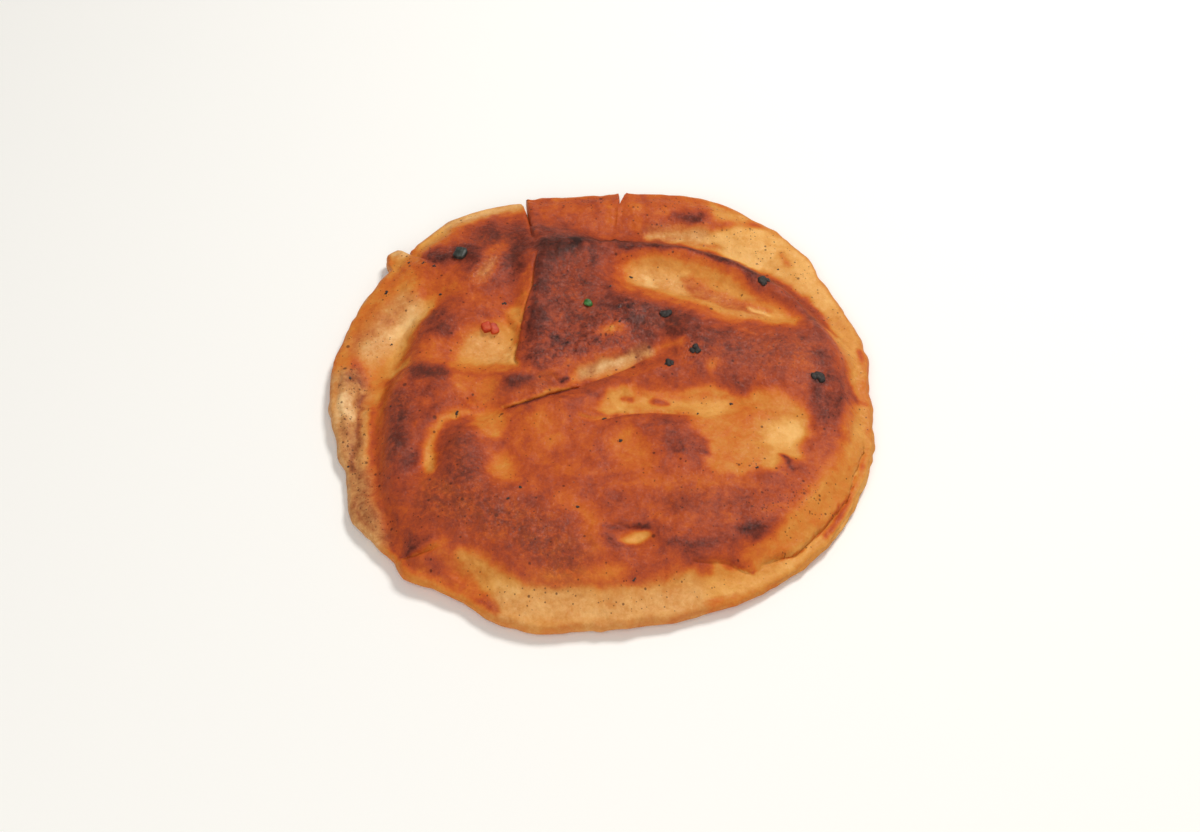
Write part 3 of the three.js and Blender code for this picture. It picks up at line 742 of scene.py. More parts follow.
# a dark ring round every bit: burnt crust round the crumbs, painted shadow under the cube, the dice and the
# herb
SCORCH_AND_SHADOW_RINGS = [("burnt ring and painted shadow round a bit", 0.93, 1.8, (0.8, 0.8), [spot]) for spot in BITS.values()]
back = BACK_EDGE + CROWN_AND_LEFT + HOLLOW_AND_BAND
front = LEFT_RIM + MIDDLE + CREASE_AND_SHALLOW + RIGHT_AND_FRONT_EDGE + CRESCENT_AND_SPOTS
browning = paint(np.full(len(plan), BASE_LEVEL), back + front + SCORCH_AND_SHADOW_RINGS)
print("browning from", browning.min().round(2), "to", browning.max().round(2))

# %% [markdown]
# ## Hollows and high places
# Because the pan browned what it touched, the painted browning also tells where the bread is high or low.
# It is evened out first, so that thin dark lines do not count, and then presses the pale places down.
# The rim is left as the solid has it, since it hardly touched the pan.

# %% Press the hollows
PRESS = 3.4
HIGH_LEVEL = 0.6
SPREAD_PASSES = 26
evened = browning.copy()
for _ in range(SPREAD_PASSES):
    evened = np.where(is_top, 0.4 * evened + 0.6 * neighbour_mean(np.where(is_top, evened, np.nan)), evened)
inner = ease((0.93 - ring) / 0.14)
relief = np.where(is_top, PRESS * inner * np.clip(evened - HIGH_LEVEL, -0.5, 0.3), 0)
print("hollows down to", relief.min().round(1), "mm, high places up to", relief.max().round(1), "mm")

# %% [markdown]
# ## Press the folds
# Where one sheet of dough lies over another, its edge is a rounded lip over a thin dark groove.
# A subdivision surface would round such an edge away, so each lip is pressed by moving points along a path:
# up on the lip's side, down in the groove, and sideways so that the lip really overhangs.

# %% Lips and grooves
LIPS = [
    # path, which side of it stands over (+1 left), lip rise, groove depth, overhang, reach of the lip
    ("crease, right half", [(22, 12), (12, 6), (2, 0.5), (-8, -3.5)], 1, 0.5, 0.6, 0.4, 4.0),
    ("crease, left half", [(-6, -3), (-15, -5.2), (-24, -8.8), (-32, -12.6), (-38, -14.6), (-42, -15.4)],
     -1, 0.9, 1.6, 1.4, 3.0),
    ("left slit", [(-34, 110), (-32.3, 98), (-31, 86), (-29, 76)], 1, 0.9, 0.9, 0.5, 3.0),
    ("fold of the crown", [(-27, 70), (-28, 58), (-28.5, 48), (-31, 38), (-33, 26), (-35, 12), (-34, 2)],
     1, 1.0, 1.2, 1.1, 3.4),
    ("front right seam", [(108, -20), (105, -32), (100, -44), (97, -54), (89, -65), (81, -74), (75, -80.5),
        (69, -82), (62, -85.5), (58, -91)], -1, 0.9, 1.6, 1.2, 3.0),
    ("front seam", [(58, -91), (55, -89), (49, -87), (40, -88), (33, -88)], -1, 0.6, 1.0, 0.7, 2.6),
    ("front left tear", [(-85, -80), (-78, -82.5), (-71, -83), (-62, -81)], 1, 0.8, 2.4, 0.9, 3.0),
    ("curl by the crease", [(-12, -2), (-17, -2.5), (-20, 1)], -1, 0.6, 0.6, 0.4, 2.0),
    ("under the pale band", [(-12, -20.4), (-4, -22.6), (4, -20.8), (14, -18.6), (26, -17.4), (40, -20.5)],
     1, 0.6, 0.7, 0.4, 3.0),
    ("edge above the front spot", [(2, -73), (10, -75), (20, -75.5)], 1, 0.5, 0.35, 0.4, 2.4),
]
GROOVE = 0.9
LIP_PEAK = 1.6
LIP_FRONT = 1.2
END_TAPER = 0.14

sideways = np.zeros_like(plan)
for _, path, over, rise, depth, overhang, lip_reach in LIPS:
    distance, share, side, way = along(plan, path)
    fade = ease(share / END_TAPER) * ease((1 - share) / END_TAPER)
    signed = distance * side * over
    lip = np.where(signed > 0, np.exp(-(((signed - LIP_PEAK) / lip_reach) ** 2)), 0)
    lip *= ease(signed / LIP_FRONT)
    groove = np.exp(-(((signed + 0.5) / GROOVE) ** 2))
    relief += fade * (rise * lip - depth * groove)
    pull = np.where(signed > 0, np.exp(-(((signed - 0.9) / 1.6) ** 2)), 0)
    sideways += way * (fade * overhang * pull)[:, None]
print("pressed", len(LIPS), "lips; deepest", relief.min().round(1), "mm")

# %% [markdown]
# ## Raise the ridges
# Other folds have no sharp lip. They are long rounded swells, such as the ridge behind the back hollow,
# or long dips, such as the groove along the left rim.
# Each follows a path too, and may fall off faster on one side than on the other.

# %% Ridges
RIDGES = [
    # path, rise or, below zero, depth, and reach to its right and to its left
    ("back ridge", [(-22, 76), (0, 72.5), (21, 72), (39, 69), (50, 65), (59, 60), (68, 54.5), (80, 45),
        (92, 31)], 2.0, 7, 3.4),
    ("left rim, bulge", [(-106, 12), (-107, -8), (-104, -28)], 1.4, 3.5, 3.5),
    ("left rim, groove", [(-98, 6), (-100, -10), (-99, -30), (-99, -44)], -1.3, 2.4, 2.4),
    ("left rim, inner ridge", [(-95, -4), (-95.5, -20), (-95, -40), (-93, -56), (-88, -72)], 0.9, 3.0, 3.4),
    ("left step, valley", [(-90, 6), (-91, -16), (-90, -36), (-87, -52), (-83, -66), (-81, -78)],
     -1.1, 2.6, 3.4),
    ("roll beside the step", [(-82, 4), (-83, -20), (-80, -44), (-74, -62)], 0.6, 5, 5),
    ("fold of the flap", [(-80, -83), (-70, -87), (-60, -92), (-50, -99), (-44, -105)], 1.2, 3.2, 2.6),
    ("back hollow, lower edge", [(10, 53), (34, 45), (52, 37), (74, 32)], 0.7, 5, 2.2),
    ("upper edge of the bay", [(-64, 8), (-63, 20), (-58, 29), (-50, 34)], 0.7, 5, 2.2),
    ("left of the crescent", [(-61, -13.5), (-70, -23), (-73, -34), (-73, -46)], 0.6, 4, 2.2),
]
for _, path, rise, right_reach, left_reach in RIDGES:
    distance, share, side, _ = along(plan, path)
    fade = ease(share / END_TAPER) * ease((1 - share) / END_TAPER)
    far = distance / np.where(side > 0, left_reach, right_reach)
    relief += fade * rise * np.exp(-(far**2))

EAR = (-91.0, 76.8)
EAR_RING = 3.0
EAR_RELIEF = 0.9
from_ear = np.hypot(*(plan - EAR).T)
ear_ring = np.exp(-(((from_ear - EAR_RING) / 1.2) ** 2))
ear_hollow = np.exp(-((from_ear / 1.8) ** 2))
relief += EAR_RELIEF * ear_ring - EAR_RELIEF * ear_hollow
print("raised", len(RIDGES), "ridges; highest", relief.max().round(1), "mm")

# %% [markdown]
# ## Wrinkles, blisters and lumps
# The middle of the bread was pressed against the pan while it shrank, so its skin is finely wrinkled there.
# Elsewhere the skin has small blisters and a soft unevenness from the chopped filling under it.
# These are real shapes and go into the mesh. Only what is finer than a millimetre is left to the material.

# %% Wrinkles
WRINKLE_FIELDS = [
    # centre line, reach, direction in degrees, height
    ([(-20, 12), (0, 20), (14, 29)], 10, 24, 0.6),
    ([(-22, 10), (-4, 20), (10, 28)], 9, 78, 0.42),
    ([(-16, 66), (-12, 44)], 15, 70, 0.24),
    ([(-50, 60), (-46, 48)], 8, 55, 0.4),
    ([(44, 16), (70, 10)], 14, 10, 0.14),
    ([(-40, -62), (-10, -84)], 18, 80, 0.2),
    ([(-80, -10), (-82, -44)], 8, 95, 0.2),
]
wrinkled = np.zeros(len(plan))
for number, (path, field_reach, direction, rise) in enumerate(WRINKLE_FIELDS):
    angle = math.radians(direction)
    ahead = plan @ np.array([math.cos(angle), math.sin(angle)])
    across = plan @ np.array([-math.sin(angle), math.cos(angle)])
    bend = 3.2 * cloud(plan, 8, 60 + number) + 1.2 * cloud(plan, 3.4, 80 + number)
    stretched = np.c_[ahead / 2.6, across + bend]
    creases = 1 - 2 * np.abs(cloud(stretched, 2.0, 70 + number))
    distance = along(plan, path)[0]
    wrinkled += rise * creases * np.exp(-((distance / field_reach) ** 2))
relief += wrinkled
print("wrinkle fields:", len(WRINKLE_FIELDS))

# %% Blisters and lumps
draw = np.random.default_rng(7)
BLISTERS = 320
for _ in range(BLISTERS):
    spot = draw.uniform(-105, 105, 2)
    size = draw.uniform(1.1, 3.2)
    rise = draw.uniform(0.1, 0.34) * draw.choice([1, 1, -0.8])
    relief += rise * np.exp(-(((plan - spot) ** 2).sum(1) / size**2))

relief += 0.42 * cloud(plan, 13, 21) + 0.2 * cloud(plan, 6, 22) + 0.1 * cloud(plan, 2.7, 23)
PITS = [
    # place, size and depth, or below zero the height of a lump
    (-52, -12.5, 1.4, 1.6),
    (-59, -20, 1.8, 1.6),
    (12, -79, 3.4, 0.8),
    (-9, -66, 1.6, 0.6),
    (12, -9.4, 2.6, -1.2),
    (23, -10.8, 2.4, -0.9),
    (-17, 17, 2, 1.0),
]
for x, y, size, depth in PITS:
    relief -= depth * np.exp(-(((plan - (x, y)) ** 2).sum(1) / size**2))
settle = np.clip((reach - from_centre) / 2.5, 0.25, 1)
relief *= settle
print("relief from", relief[is_top].min().round(1), "to", relief[is_top].max().round(1), "mm")

# %% [markdown]
# ## Edge and underside
# The edge is half a round, from the pressed rim down to the underside, and it is never even.
# On the right the two sheets of the rim part along a thin seam, so a groove runs round the edge there.
# The underside is flat where it lay on the pan, and lifts a little towards the edge.

# %% Place every point
LIFT = 1.2
PARTING_BEARING = math.radians(-14)
PARTING_REACH = 0.75
SEAM_ROW = 4.6
SEAM_DEPTH = 1.5
places = np.zeros((len(plan), 3))
places[:, :2] = plan + np.where(is_top[:, None], sideways, 0)
places[is_top, 2] = (height + relief)[is_top]

border = np.flatnonzero(is_top & (ring > 0.9999))
order = border[np.argsort(bearing[border])]
border_height = np.interp(bearing, bearing[order], places[order, 2], period=math.tau)
swing = math.pi / 2 - math.pi * row / EDGE_ROWS
middle = (border_height + LIFT) / 2
half = (border_height - LIFT) / 2

edge_plan = np.c_[np.degrees(bearing) * 2, row * 2.2]
uneven = 0.55 * cloud(edge_plan, 9, 31) + 0.3 * cloud(edge_plan, 4, 32)
parting = np.exp(-((bearing_gap(bearing, PARTING_BEARING) / PARTING_REACH) ** 2))
parting *= 0.75 + 0.25 * cloud(edge_plan, 16, 33)
seam = np.exp(-(((row - SEAM_ROW) / 1.1) ** 2)) * SEAM_DEPTH * parting
bulge = np.cos(swing)
outwards = bulge * round_off + np.sin(math.pi * row / EDGE_ROWS) * (uneven - seam)
direction = np.c_[np.cos(bearing_leant), np.sin(bearing_leant)]
border_plan = direction * (from_centre + outwards)[:, None]
places[is_wall, :2] = border_plan[is_wall]
places[is_wall, 2] = (middle + half * np.sin(swing))[is_wall]

lift_share = ease((ring - 0.8) / 0.2)
base_uneven = 0.25 * (1 + cloud(plan, 14, 34)) + 0.15 * (1 + cloud(plan, 5, 35))
places[is_base, 2] = (LIFT * lift_share + base_uneven * (1 - lift_share))[is_base]
places[:, 2] = np.maximum(places[:, 2], 0)

bread.data.vertices.foreach_set("co", (places * MM).ravel())
bread.data.shade_smooth()
bread.data.update()
print("bread", (np.ptp(places, axis=0)).round(1), "mm")

# %% [markdown]
# ## Soot, sheen, dust, oil and freckles
# Four more glazes go over the browning in the same way.
# Soot and sheen is the grey bloom where the crust scorched, together with a painted sheen: the greyish
# mauve veil of light that the oily dark crust reflects. Dust is the dry, floury pallor of dough that never
# met the pan. One touch of it is painted sheen instead: it pales the glossy patch on the left shoulder.
# Oil is the gloss of the wrinkled middle, and freckles are the fine burnt dots, thickest on the pale rim.
# Browning then gets its last shifts: the edge and small hollows are paler and small heights are darker,
# the edge is paler still on its right front as painted light, and shade is painted into the furrows of the
# wrinkles.

# %% Soot, sheen and dust
# soot and painted sheen: each touch greys the crust, partly for scorch, partly for the veil of light the
# oily crust reflects
SOOT_AND_SHEEN = [
    ("crown", 0.30, 8, (12, 10), [(-16, 74), (-12, 34)]),
    ("shoulder", 0.80, 5, (4, 3), [(-52, 80), (-42, 80)]),
    ("fold", 0.50, 4, (3, 3), [(-39, 76), (-37.5, 64)]),
    ("crown, top", 0.90, 5, (4, 3), [(-21, 70), (-13, 65)]),
    ("left", 0.80, 4, (3, 3), [(-76, 4), (-67, 1)]),
    ("left, upper", 0.80, 5, (3.5, 3.5), [(-82, -13), (-80, -21)]),
    ("left brown", 0.40, 4, (4, 4), [(-70, 32), (-66, 26)]),
    ("left of middle", 0.70, 5, (4, 5), [(-56, -36), (-53, -50)]),
    ("lower left", 0.62, 9, (9, 9), [(-62, -60), (-30, -76), (-14, -88)]),
    ("band", 0.30, 8, (8, 8), [(50, 14), (86, 14)]),
    ("hump", 0.60, 4, (5, 4), [(18, 28), (32, 28)]),
    ("lower middle", 0.25, 8, (8, 8), [(30, -64), (56, -64)]),
    ("left, lower", 0.80, 5, (3.5, 3.5), [(-82, -31), (-81, -39)]),
    ("tongue of the crease", 0.40, 4, (3, 3), [(-40, -6), (-22, -3)]),
]
DUST_AND_SHEEN = [
    ("left rim", 0.90, 4, (6.5, 6), [(-104, 4), (-103, -12), (-101, -40), (-94, -62), (-88, -74)]),
    ("left stripe", 0.60, 5, (7, 7), [(-84, 42), (-98, 24)]),
    ("crease", 0.90, 2, (2, 3), [(-8, 1), (6, 8), (18, 14)]),
    # painted sheen: pales the glossy patch of the shoulder as its shine would
    ("painted sheen on the shoulder", 0.50, 2.5, (2, 2), [(-47, 64), (-51, 55)]),
    ("bay", 0.25, 4, (7, 7), [(-50, 20), (-44, 16)]),
    ("hollow", 0.30, 4, (6, 4), [(20, 57), (36, 52), (64, 36)]),
    ("front rim", 0.35, 4, (6, 6), [(-36, -104), (0, -107), (34, -101)]),
    ("left edge of the back", 0.40, 4, (4, 4), [(-40, 104), (-66, 92)]),
    ("back rim", 0.50, 4, (4, 4), [(24, 88), (44, 88)]),
    ("ear", 0.50, 2, (4, 4), [(-93, 79), (-89, 77)]),
]
soot_and_sheen = paint(np.zeros(len(plan)), SOOT_AND_SHEEN)
dust_and_sheen = paint(np.zeros(len(plan)), DUST_AND_SHEEN)
print(len(SOOT_AND_SHEEN), "touches of soot and", len(DUST_AND_SHEEN), "of dust")

# %% Oil and freckles
OIL_BASE = 0.15
FRECKLE_BASE = 0.22
OIL = [
    ("wrinkles", 1.30, 6, (10, 10), [(-20, 12), (0, 20), (14, 30)]),
    ("crown", 0.90, 9, (12, 12), [(-14, 48), (-12, 32)]),
    ("shoulder", 1.30, 4, (5, 5), [(-52, 54), (-46, 64)]),
    ("around the char", 0.70, 5, (5, 5), [(-74, 66), (-62, 76)]),
    ("hollow", 0.50, 6, (6, 6), [(20, 58), (60, 40)]),
    ("band", 0.80, 8, (10, 10), [(40, 12), (86, 8)]),
    ("middle", 0.20, 8, (10, 10), [(-40, -24), (10, -34), (60, -30)]),
    ("lower left", 0.55, 10, (14, 14), [(-60, -60), (-20, -80)]),
    ("right rim", 0.40, 5, (5, 5), [(104, 20), (104, -20)]),
    ("left soot", 0.60, 6, (7, 7), [(-80, -6), (-82, -44)]),
]
FRECKLES = [
    ("left rim", 1.00, 5, (9, 9), [(-104, 22), (-105, -10), (-99, -40), (-90, -66)]),
    ("back right rim", 0.80, 5, (6, 8), [(30, 92), (70, 84), (88, 64), (98, 42)]),
    ("back edge", 0.70, 4, (5, 5), [(-28, 108), (30, 106), (60, 96)]),
    ("right shallow", 0.40, 5, (6, 6), [(66, -28), (56, -44)]),
    ("lower right", 2.20, 6, (6, 6), [(60, -68), (80, -60)]),
    ("front rim", 0.45, 5, (6, 6), [(36, -98), (0, -104), (-36, -102)]),
    ("front left", 0.60, 5, (5, 5), [(-70, -82), (-44, -94)]),
    ("back left rim", 0.70, 6, (8, 8), [(-92, 60), (-64, 88)]),
    ("wrinkles", 1.60, 5, (7, 7), [(-10, 16), (10, 28)]),
    ("left soot", 0.50, 5, (6, 6), [(-80, -10), (-82, -40)]),
    ("lower left", 0.50, 8, (8, 8), [(-60, -62), (-20, -84)]),
    ("mauve of the left rim", 2.60, 2.5, (2, 2), [(-103.5, 13), (-102, 3)]),
    ("specks of the bulge", 2.20, 3, (2.5, 2.5), [(-105, -17), (-102, -23)]),
    ("foot of the left rim", 2.40, 3, (2, 2), [(-101, -34), (-101, -42)]),
]
oil = paint(np.full(len(plan), OIL_BASE), OIL)
freckles = paint(np.full(len(plan), FRECKLE_BASE), FRECKLES)
print(len(OIL), "touches of oil and", len(FRECKLES), "of freckles")

# %% Shade the edge and the underside
SIDE_LEVEL = 0.3
UNDERSIDE_LEVEL = 0.62
PAINTED_LIGHT_SIDE_BEARING = math.radians(-36)
PAINTED_LIGHT_SIDE_REACH = 0.35
HOLLOW_PALER = 0.1
HEIGHT_DARKER = 0.1
PAINTED_FURROW_SHADE = 0.35

side_share = np.where(is_wall, np.sin(math.pi * row / EDGE_ROWS), 0)
side_level = SIDE_LEVEL + 0.08 * cloud(edge_plan, 12, 36) + 0.3 * ease((row - 8) / 3)
# painted light: the edge is paler on its right front, where light falls on it
side_level -= 0.16 * np.exp(-((bearing_gap(bearing, PAINTED_LIGHT_SIDE_BEARING) / PAINTED_LIGHT_SIDE_REACH) ** 2))
browning = np.where(is_wall, browning + (side_level - browning) * ease(side_share * 1.4), browning)
underside_level = UNDERSIDE_LEVEL + 0.16 * cloud(plan, 17, 37) + 0.1 * cloud(plan, 6, 38)
underside_level -= 0.2 * ease((ring - 0.88) / 0.12)
browning = np.where(is_base, underside_level, browning)
freckles = np.where(is_top, freckles, 0)
soot_and_sheen = np.where(is_base, 0.3 * ease(cloud(plan, 12, 39)), np.where(is_wall, 0, soot_and_sheen))
browning -= HOLLOW_PALER * np.where(is_top, np.clip(-relief - 0.25, 0, 1), 0)
browning += HEIGHT_DARKER * np.where(is_top, np.clip(relief - 0.15, 0, 0.6), 0)
# painted shade in the furrows of the wrinkles
browning += PAINTED_FURROW_SHADE * np.where(is_top, np.clip(-wrinkled - 0.05, 0, 0.5), 0)

glazes = {"browning": browning, "soot_and_sheen": soot_and_sheen, "dust_and_sheen": dust_and_sheen, "oil": oil, "freckles": freckles}
for name, values in glazes.items():
    layer = bread.data.attributes.new(name, "FLOAT", "POINT")
    layer.data.foreach_set("value", values.astype(np.float32))
print("glazes:", {name: round(float(values.mean()), 2) for name, values in glazes.items()})

# %% [markdown]
# ## Crust material
# One colour ramp holds the whole life of the crust: cream dough, gold, orange, red-brown and nearly black.
# The painted browning picks the place on the ramp, and noise of three sizes shifts it, so nothing is flat.
# Where the crust is oily, shade is painted into its fine furrows and light onto their crests, and a thin
# clear coat with its own bump makes it glint.
# Everything reads Object coordinates or the painted layers, so the look holds from every side.


# %% Node helpers
def linear(rgb):
    """A colour read off a screen, 0 to 255, as the linear values that shaders take."""
    return [(c / 255 / 12.92 if c <= 10 else ((c / 255 + 0.055) / 1.055) ** 2.4) for c in rgb]


class Nodes:
    """A short hand for building one material's nodes."""

    def __init__(self, name):
        self.material = bpy.data.materials.new(name)
        self.material.use_nodes = True
        self.tree = self.material.node_tree
        self.shader = self.tree.nodes["Principled BSDF"]
        self.place = self.tree.nodes.new("ShaderNodeTexCoord").outputs["Object"]

    def feed(self, socket, value):
        if isinstance(value, bpy.types.NodeSocket):
            self.tree.links.new(value, socket)
        else:
            socket.default_value = value

    def layer(self, name):
        node = self.tree.nodes.new("ShaderNodeAttribute")
        node.attribute_name = name
        return node.outputs["Fac"]

    def settings(self, values):
        for name, value in values.items():
            self.feed(self.shader.inputs[name], value)

    def noise(self, scale, detail, roughness, distortion=0.0):
        node = self.tree.nodes.new("ShaderNodeTexNoise")
        self.feed(node.inputs["Vector"], self.place)
        node.inputs["Scale"].default_value = scale
        node.inputs["Detail"].default_value = detail
        node.inputs["Roughness"].default_value = roughness
        node.inputs["Distortion"].default_value = distortion
        return node.outputs[0]

    def dots(self, scale, amount, radius, blur):
        """Round dots, at most one in each cell of the scale: the amount says how many cells have one."""
        cell = self.tree.nodes.new("ShaderNodeTexVoronoi")
        cell.voronoi_dimensions = "2D"
        self.feed(cell.inputs["Vector"], self.place)
        cell.inputs["Scale"].default_value = scale
        draw = self.tree.nodes.new("ShaderNodeSeparateColor")
        self.feed(draw.inputs[0], cell.outputs["Color"])
        few = self.math("SUBTRACT", 1.0, amount)
        size = self.spread(draw.outputs[0], few, 1.0, 0.0, radius * scale, smooth=False)
        depth = self.math("SUBTRACT", size, cell.outputs["Distance"])
        return self.spread(depth, 0.0, blur * scale)

    def math(self, operation, a, b, c=0.0):
        node = self.tree.nodes.new("ShaderNodeMath")
        node.operation = operation
        for socket, value in zip(node.inputs, (a, b, c)):
            self.feed(socket, value)
        return node.outputs[0]

    def spread(self, value, low, high, to_low=0.0, to_high=1.0, smooth=True):
        node = self.tree.nodes.new("ShaderNodeMapRange")
        node.interpolation_type = "SMOOTHSTEP" if smooth else "LINEAR"
        for socket, number in zip(node.inputs, (value, low, high, to_low, to_high)):
            self.feed(socket, number)
        return node.outputs[0]

    def mix(self, share, under, over):
        node = self.tree.nodes.new("ShaderNodeMix")
        node.data_type = "RGBA"
        self.feed(node.inputs["Factor"], share)
        for socket, value in ((node.inputs[6], under), (node.inputs[7], over)):
            self.feed(socket, value if isinstance(value, bpy.types.NodeSocket) else (*value, 1))
        return node.outputs[2]

    def ramp(self, value, stops):
        node = self.tree.nodes.new("ShaderNodeValToRGB")
        elements = node.color_ramp.elements
        while len(elements) < len(stops):
            elements.new(0.5)
        for element, (position, rgb) in zip(elements, stops):
            element.position = position
            element.color = (*linear(rgb), 1)
        self.feed(node.inputs[0], value)
        return node.outputs[0]

    def bump(self, height, strength, distance, sockets=("Normal", "Coat Normal")):
        node = self.tree.nodes.new("ShaderNodeBump")
        node.inputs["Strength"].default_value = strength
        node.inputs["Distance"].default_value = distance
        self.feed(node.inputs["Height"], height)
        for socket in sockets:
            self.feed(self.shader.inputs[socket], node.outputs[0])


print("node helpers ready")

# %% Crust colour
CRUST = [
    (0.00, (238, 182, 106)),
    (0.12, (224, 158, 79)),
    (0.24, (211, 136, 59)),
    (0.36, (207, 114, 43)),
    (0.48, (196, 93, 37)),
    (0.60, (177, 76, 38)),
    (0.72, (150, 64, 41)),
    (0.84, (110, 47, 34)),
    (1.00, (42, 19, 16)),
]
DUST_AND_SHEEN_COLOURS = [(0.0, (240, 200, 146)), (0.3, (206, 150, 92)), (0.6, (158, 96, 56)), (0.9, (94, 52, 35))]

crust = Nodes("crust")
browned = crust.layer("browning")
grain = crust.noise(1250, detail=3, roughness=0.72)
curd = crust.noise(430, detail=5, roughness=0.68, distortion=0.3)
mottle = crust.noise(115, detail=5, roughness=0.65, distortion=0.5)

shake = 0.0
for noise, by in ((grain, 0.24), (curd, 0.24), (mottle, 0.65)):
    centred = crust.math("SUBTRACT", shake, by / 2)
    shake = crust.math("MULTIPLY_ADD", noise, by, centred)
loud = crust.spread(browned, 0.1, 0.7, 0.6, 1.0)
level = crust.math("MULTIPLY_ADD", shake, loud, browned)

oiled = crust.layer("oil")
# painted shade and light in the oily crust: darker in the furrows of the crinkle, paler on its crests, as
# the bump below shapes them
creased = crust.noise(520, detail=3, roughness=0.55, distortion=0.8)
crinkle_shading = crust.math("SUBTRACT", 0.5, creased)
level = crust.math("MULTIPLY_ADD", crinkle_shading, crust.spread(oiled, 0.2, 1.2, 0.0, 0.45), level)
# dust and painted sheen: a pale, greyer ramp mixed over the crust colour
dust_and_sheen_level = crust.math("MULTIPLY_ADD", curd, 0.5, crust.math("SUBTRACT", level, 0.25))
colour = crust.mix(crust.layer("dust_and_sheen"), crust.ramp(level, CRUST), crust.ramp(dust_and_sheen_level, DUST_AND_SHEEN_COLOURS))

# soot and painted sheen: a greyish mauve laid over the crust colour
grey_bloom_and_sheen_share = crust.math("MULTIPLY", crust.layer("soot_and_sheen"), crust.spread(curd, 0.34, 0.6))
colour = crust.mix(crust.math("MULTIPLY", grey_bloom_and_sheen_share, 0.75), colour, linear((78, 46, 38)))

DOTS = [
    # cells to the metre, share of cells with a dot, radius and blur in metres
    (480, 0.2, 0.0007, 0.0003),
    (150, 0.25, 0.0012, 0.0006),
    (1050, 0.16, 0.00045, 0.0002),
]
freckled = crust.layer("freckles")
dots = 0.0
for cells, share_of_cells, dot_radius, blur in DOTS:
    amount = crust.math("MULTIPLY", freckled, share_of_cells)
    dots = crust.math("MAXIMUM", dots, crust.dots(cells, amount, dot_radius, blur))
colour = crust.mix(crust.math("MULTIPLY", dots, 0.7), colour, linear((66, 32, 24)))
print("colour nodes of the crust:", len(crust.tree.nodes))

# %% Crust gloss and skin
CRUST_VALUES = {
    "Base Color": colour,
    "Roughness": crust.spread(curd, 0.2, 0.8, 0.4, 0.6, smooth=False),
    "Specular IOR Level": 0.1,
    "Coat Weight": crust.math("MULTIPLY_ADD", oiled, 0.34, 0.02),
    "Coat Roughness": 0.12,
    "Coat IOR": 1.4,
    "Subsurface Weight": 0.06,
    "Subsurface Radius": (1.0, 0.42, 0.18),
    "Subsurface Scale": 0.002,
}
SKIN_DEPTH = 0.0015
crust.settings(CRUST_VALUES)

ripple = crust.noise(170, detail=2, roughness=0.5)
crinkle = crust.math("MULTIPLY", creased, crust.spread(oiled, 0.0, 1.0, 0.12, 0.4))
skin = crust.math("MULTIPLY_ADD", ripple, 0.9, crinkle)
skin = crust.math("MULTIPLY_ADD", grain, 0.09, skin)
crust.bump(skin, 1.0, SKIN_DEPTH)
glint = crust.noise(760, detail=1, roughness=0.4, distortion=0.8)
sparkle = crust.math("MULTIPLY", glint, crust.spread(oiled, 0.0, 1.0, 0.2, 0.5))
crust.bump(crust.math("ADD", skin, sparkle), 1.0, SKIN_DEPTH, ("Coat Normal",))
bread.data.materials.append(crust.material)
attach(bread, "root")
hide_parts("flatbread")
print("crust nodes:", len(crust.tree.nodes))

# %% [markdown]
# ## Bits stuck to the top
# A charred cube, a dice of red vegetable, a shred of herb and burnt crumbs are stuck in the crust.
# Each starts from a bevelled cube or a ball, cut finely and knocked out of shape by noise.
# A ray shot down finds the height and slope of the crust, and the bit is laid on it with its foot inside.

# %% Set a bit on the bread
bread_copy = bmesh.new()
bread_copy.from_mesh(bread.data)
bread_tree = BVHTree.FromBMesh(bread_copy)
bread_copy.free()


def rest(x, y):
    """The place on the bread's top over that spot, and the turn that lays a bit flat on it."""
    spot, normal, _, _ = bread_tree.ray_cast(Vector((x * MM, y * MM, FAR)), Vector((0, 0, -1)))
    return spot, normal.to_track_quat("Z", "Y").to_matrix().to_4x4()


def knock(verts, seed, by, patch):
    """Pushes a bit's points in and out, so that nothing about it is straight."""
    spots = np.array([v.co for v in verts]) / MM
    coarse = cloud(spots[:, :2] + spots[:, 2:] * 0.7, patch, seed)
    push = coarse + 0.5 * cloud(spots[:, 1:] * 1.3, patch / 2, seed + 1)
    for vert, amount in zip(verts, push * by):
        vert.co += vert.co.normalized() * amount * MM


def cube_bit(bm, half, seed, by, bevel):
    bmesh.ops.create_cube(bm, size=2)
    edges = bm.edges[:]
    bmesh.ops.bevel(bm, geom=edges, offset=bevel, affect="EDGES", segments=3, profile=0.5, material=-1)
    bmesh.ops.subdivide_edges(bm, edges=bm.edges[:], cuts=3, use_grid_fill=True)
    bmesh.ops.scale(bm, verts=bm.verts, vec=Vector(half) * MM)
    knock(bm.verts, seed, by, patch=2.2)
    bmesh.ops.smooth_vert(bm, verts=bm.verts, factor=0.3, use_axis_x=True, use_axis_y=True, use_axis_z=True)


def ball_bit(bm, half, seed, by):
    made = bmesh.ops.create_icosphere(bm, subdivisions=3, radius=1)
    bmesh.ops.scale(bm, verts=made["verts"], vec=Vector(half) * MM)
    knock(made["verts"], seed, by, patch=1.6)
    return made["verts"]


def set_down(bm, verts, spot, turn, raised):
    """Lays a bit on the crust with its middle raised that many millimetres, so its foot is inside."""
    place, lean_turn = rest(*spot)
    spun = Matrix.Rotation(math.radians(turn), 4, "Z")
    up = Matrix.Translation(Vector((0, 0, raised * MM)))
    bmesh.ops.transform(bm, matrix=Matrix.Translation(place) @ lean_turn @ up @ spun, verts=verts)


def finish_bit(name, bm, material):
    bmesh.ops.recalc_face_normals(bm, faces=bm.faces)
    piece = new_piece(name, bm)
    piece.data.shade_smooth()
    piece.data.materials.append(material)
    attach(piece, "root")


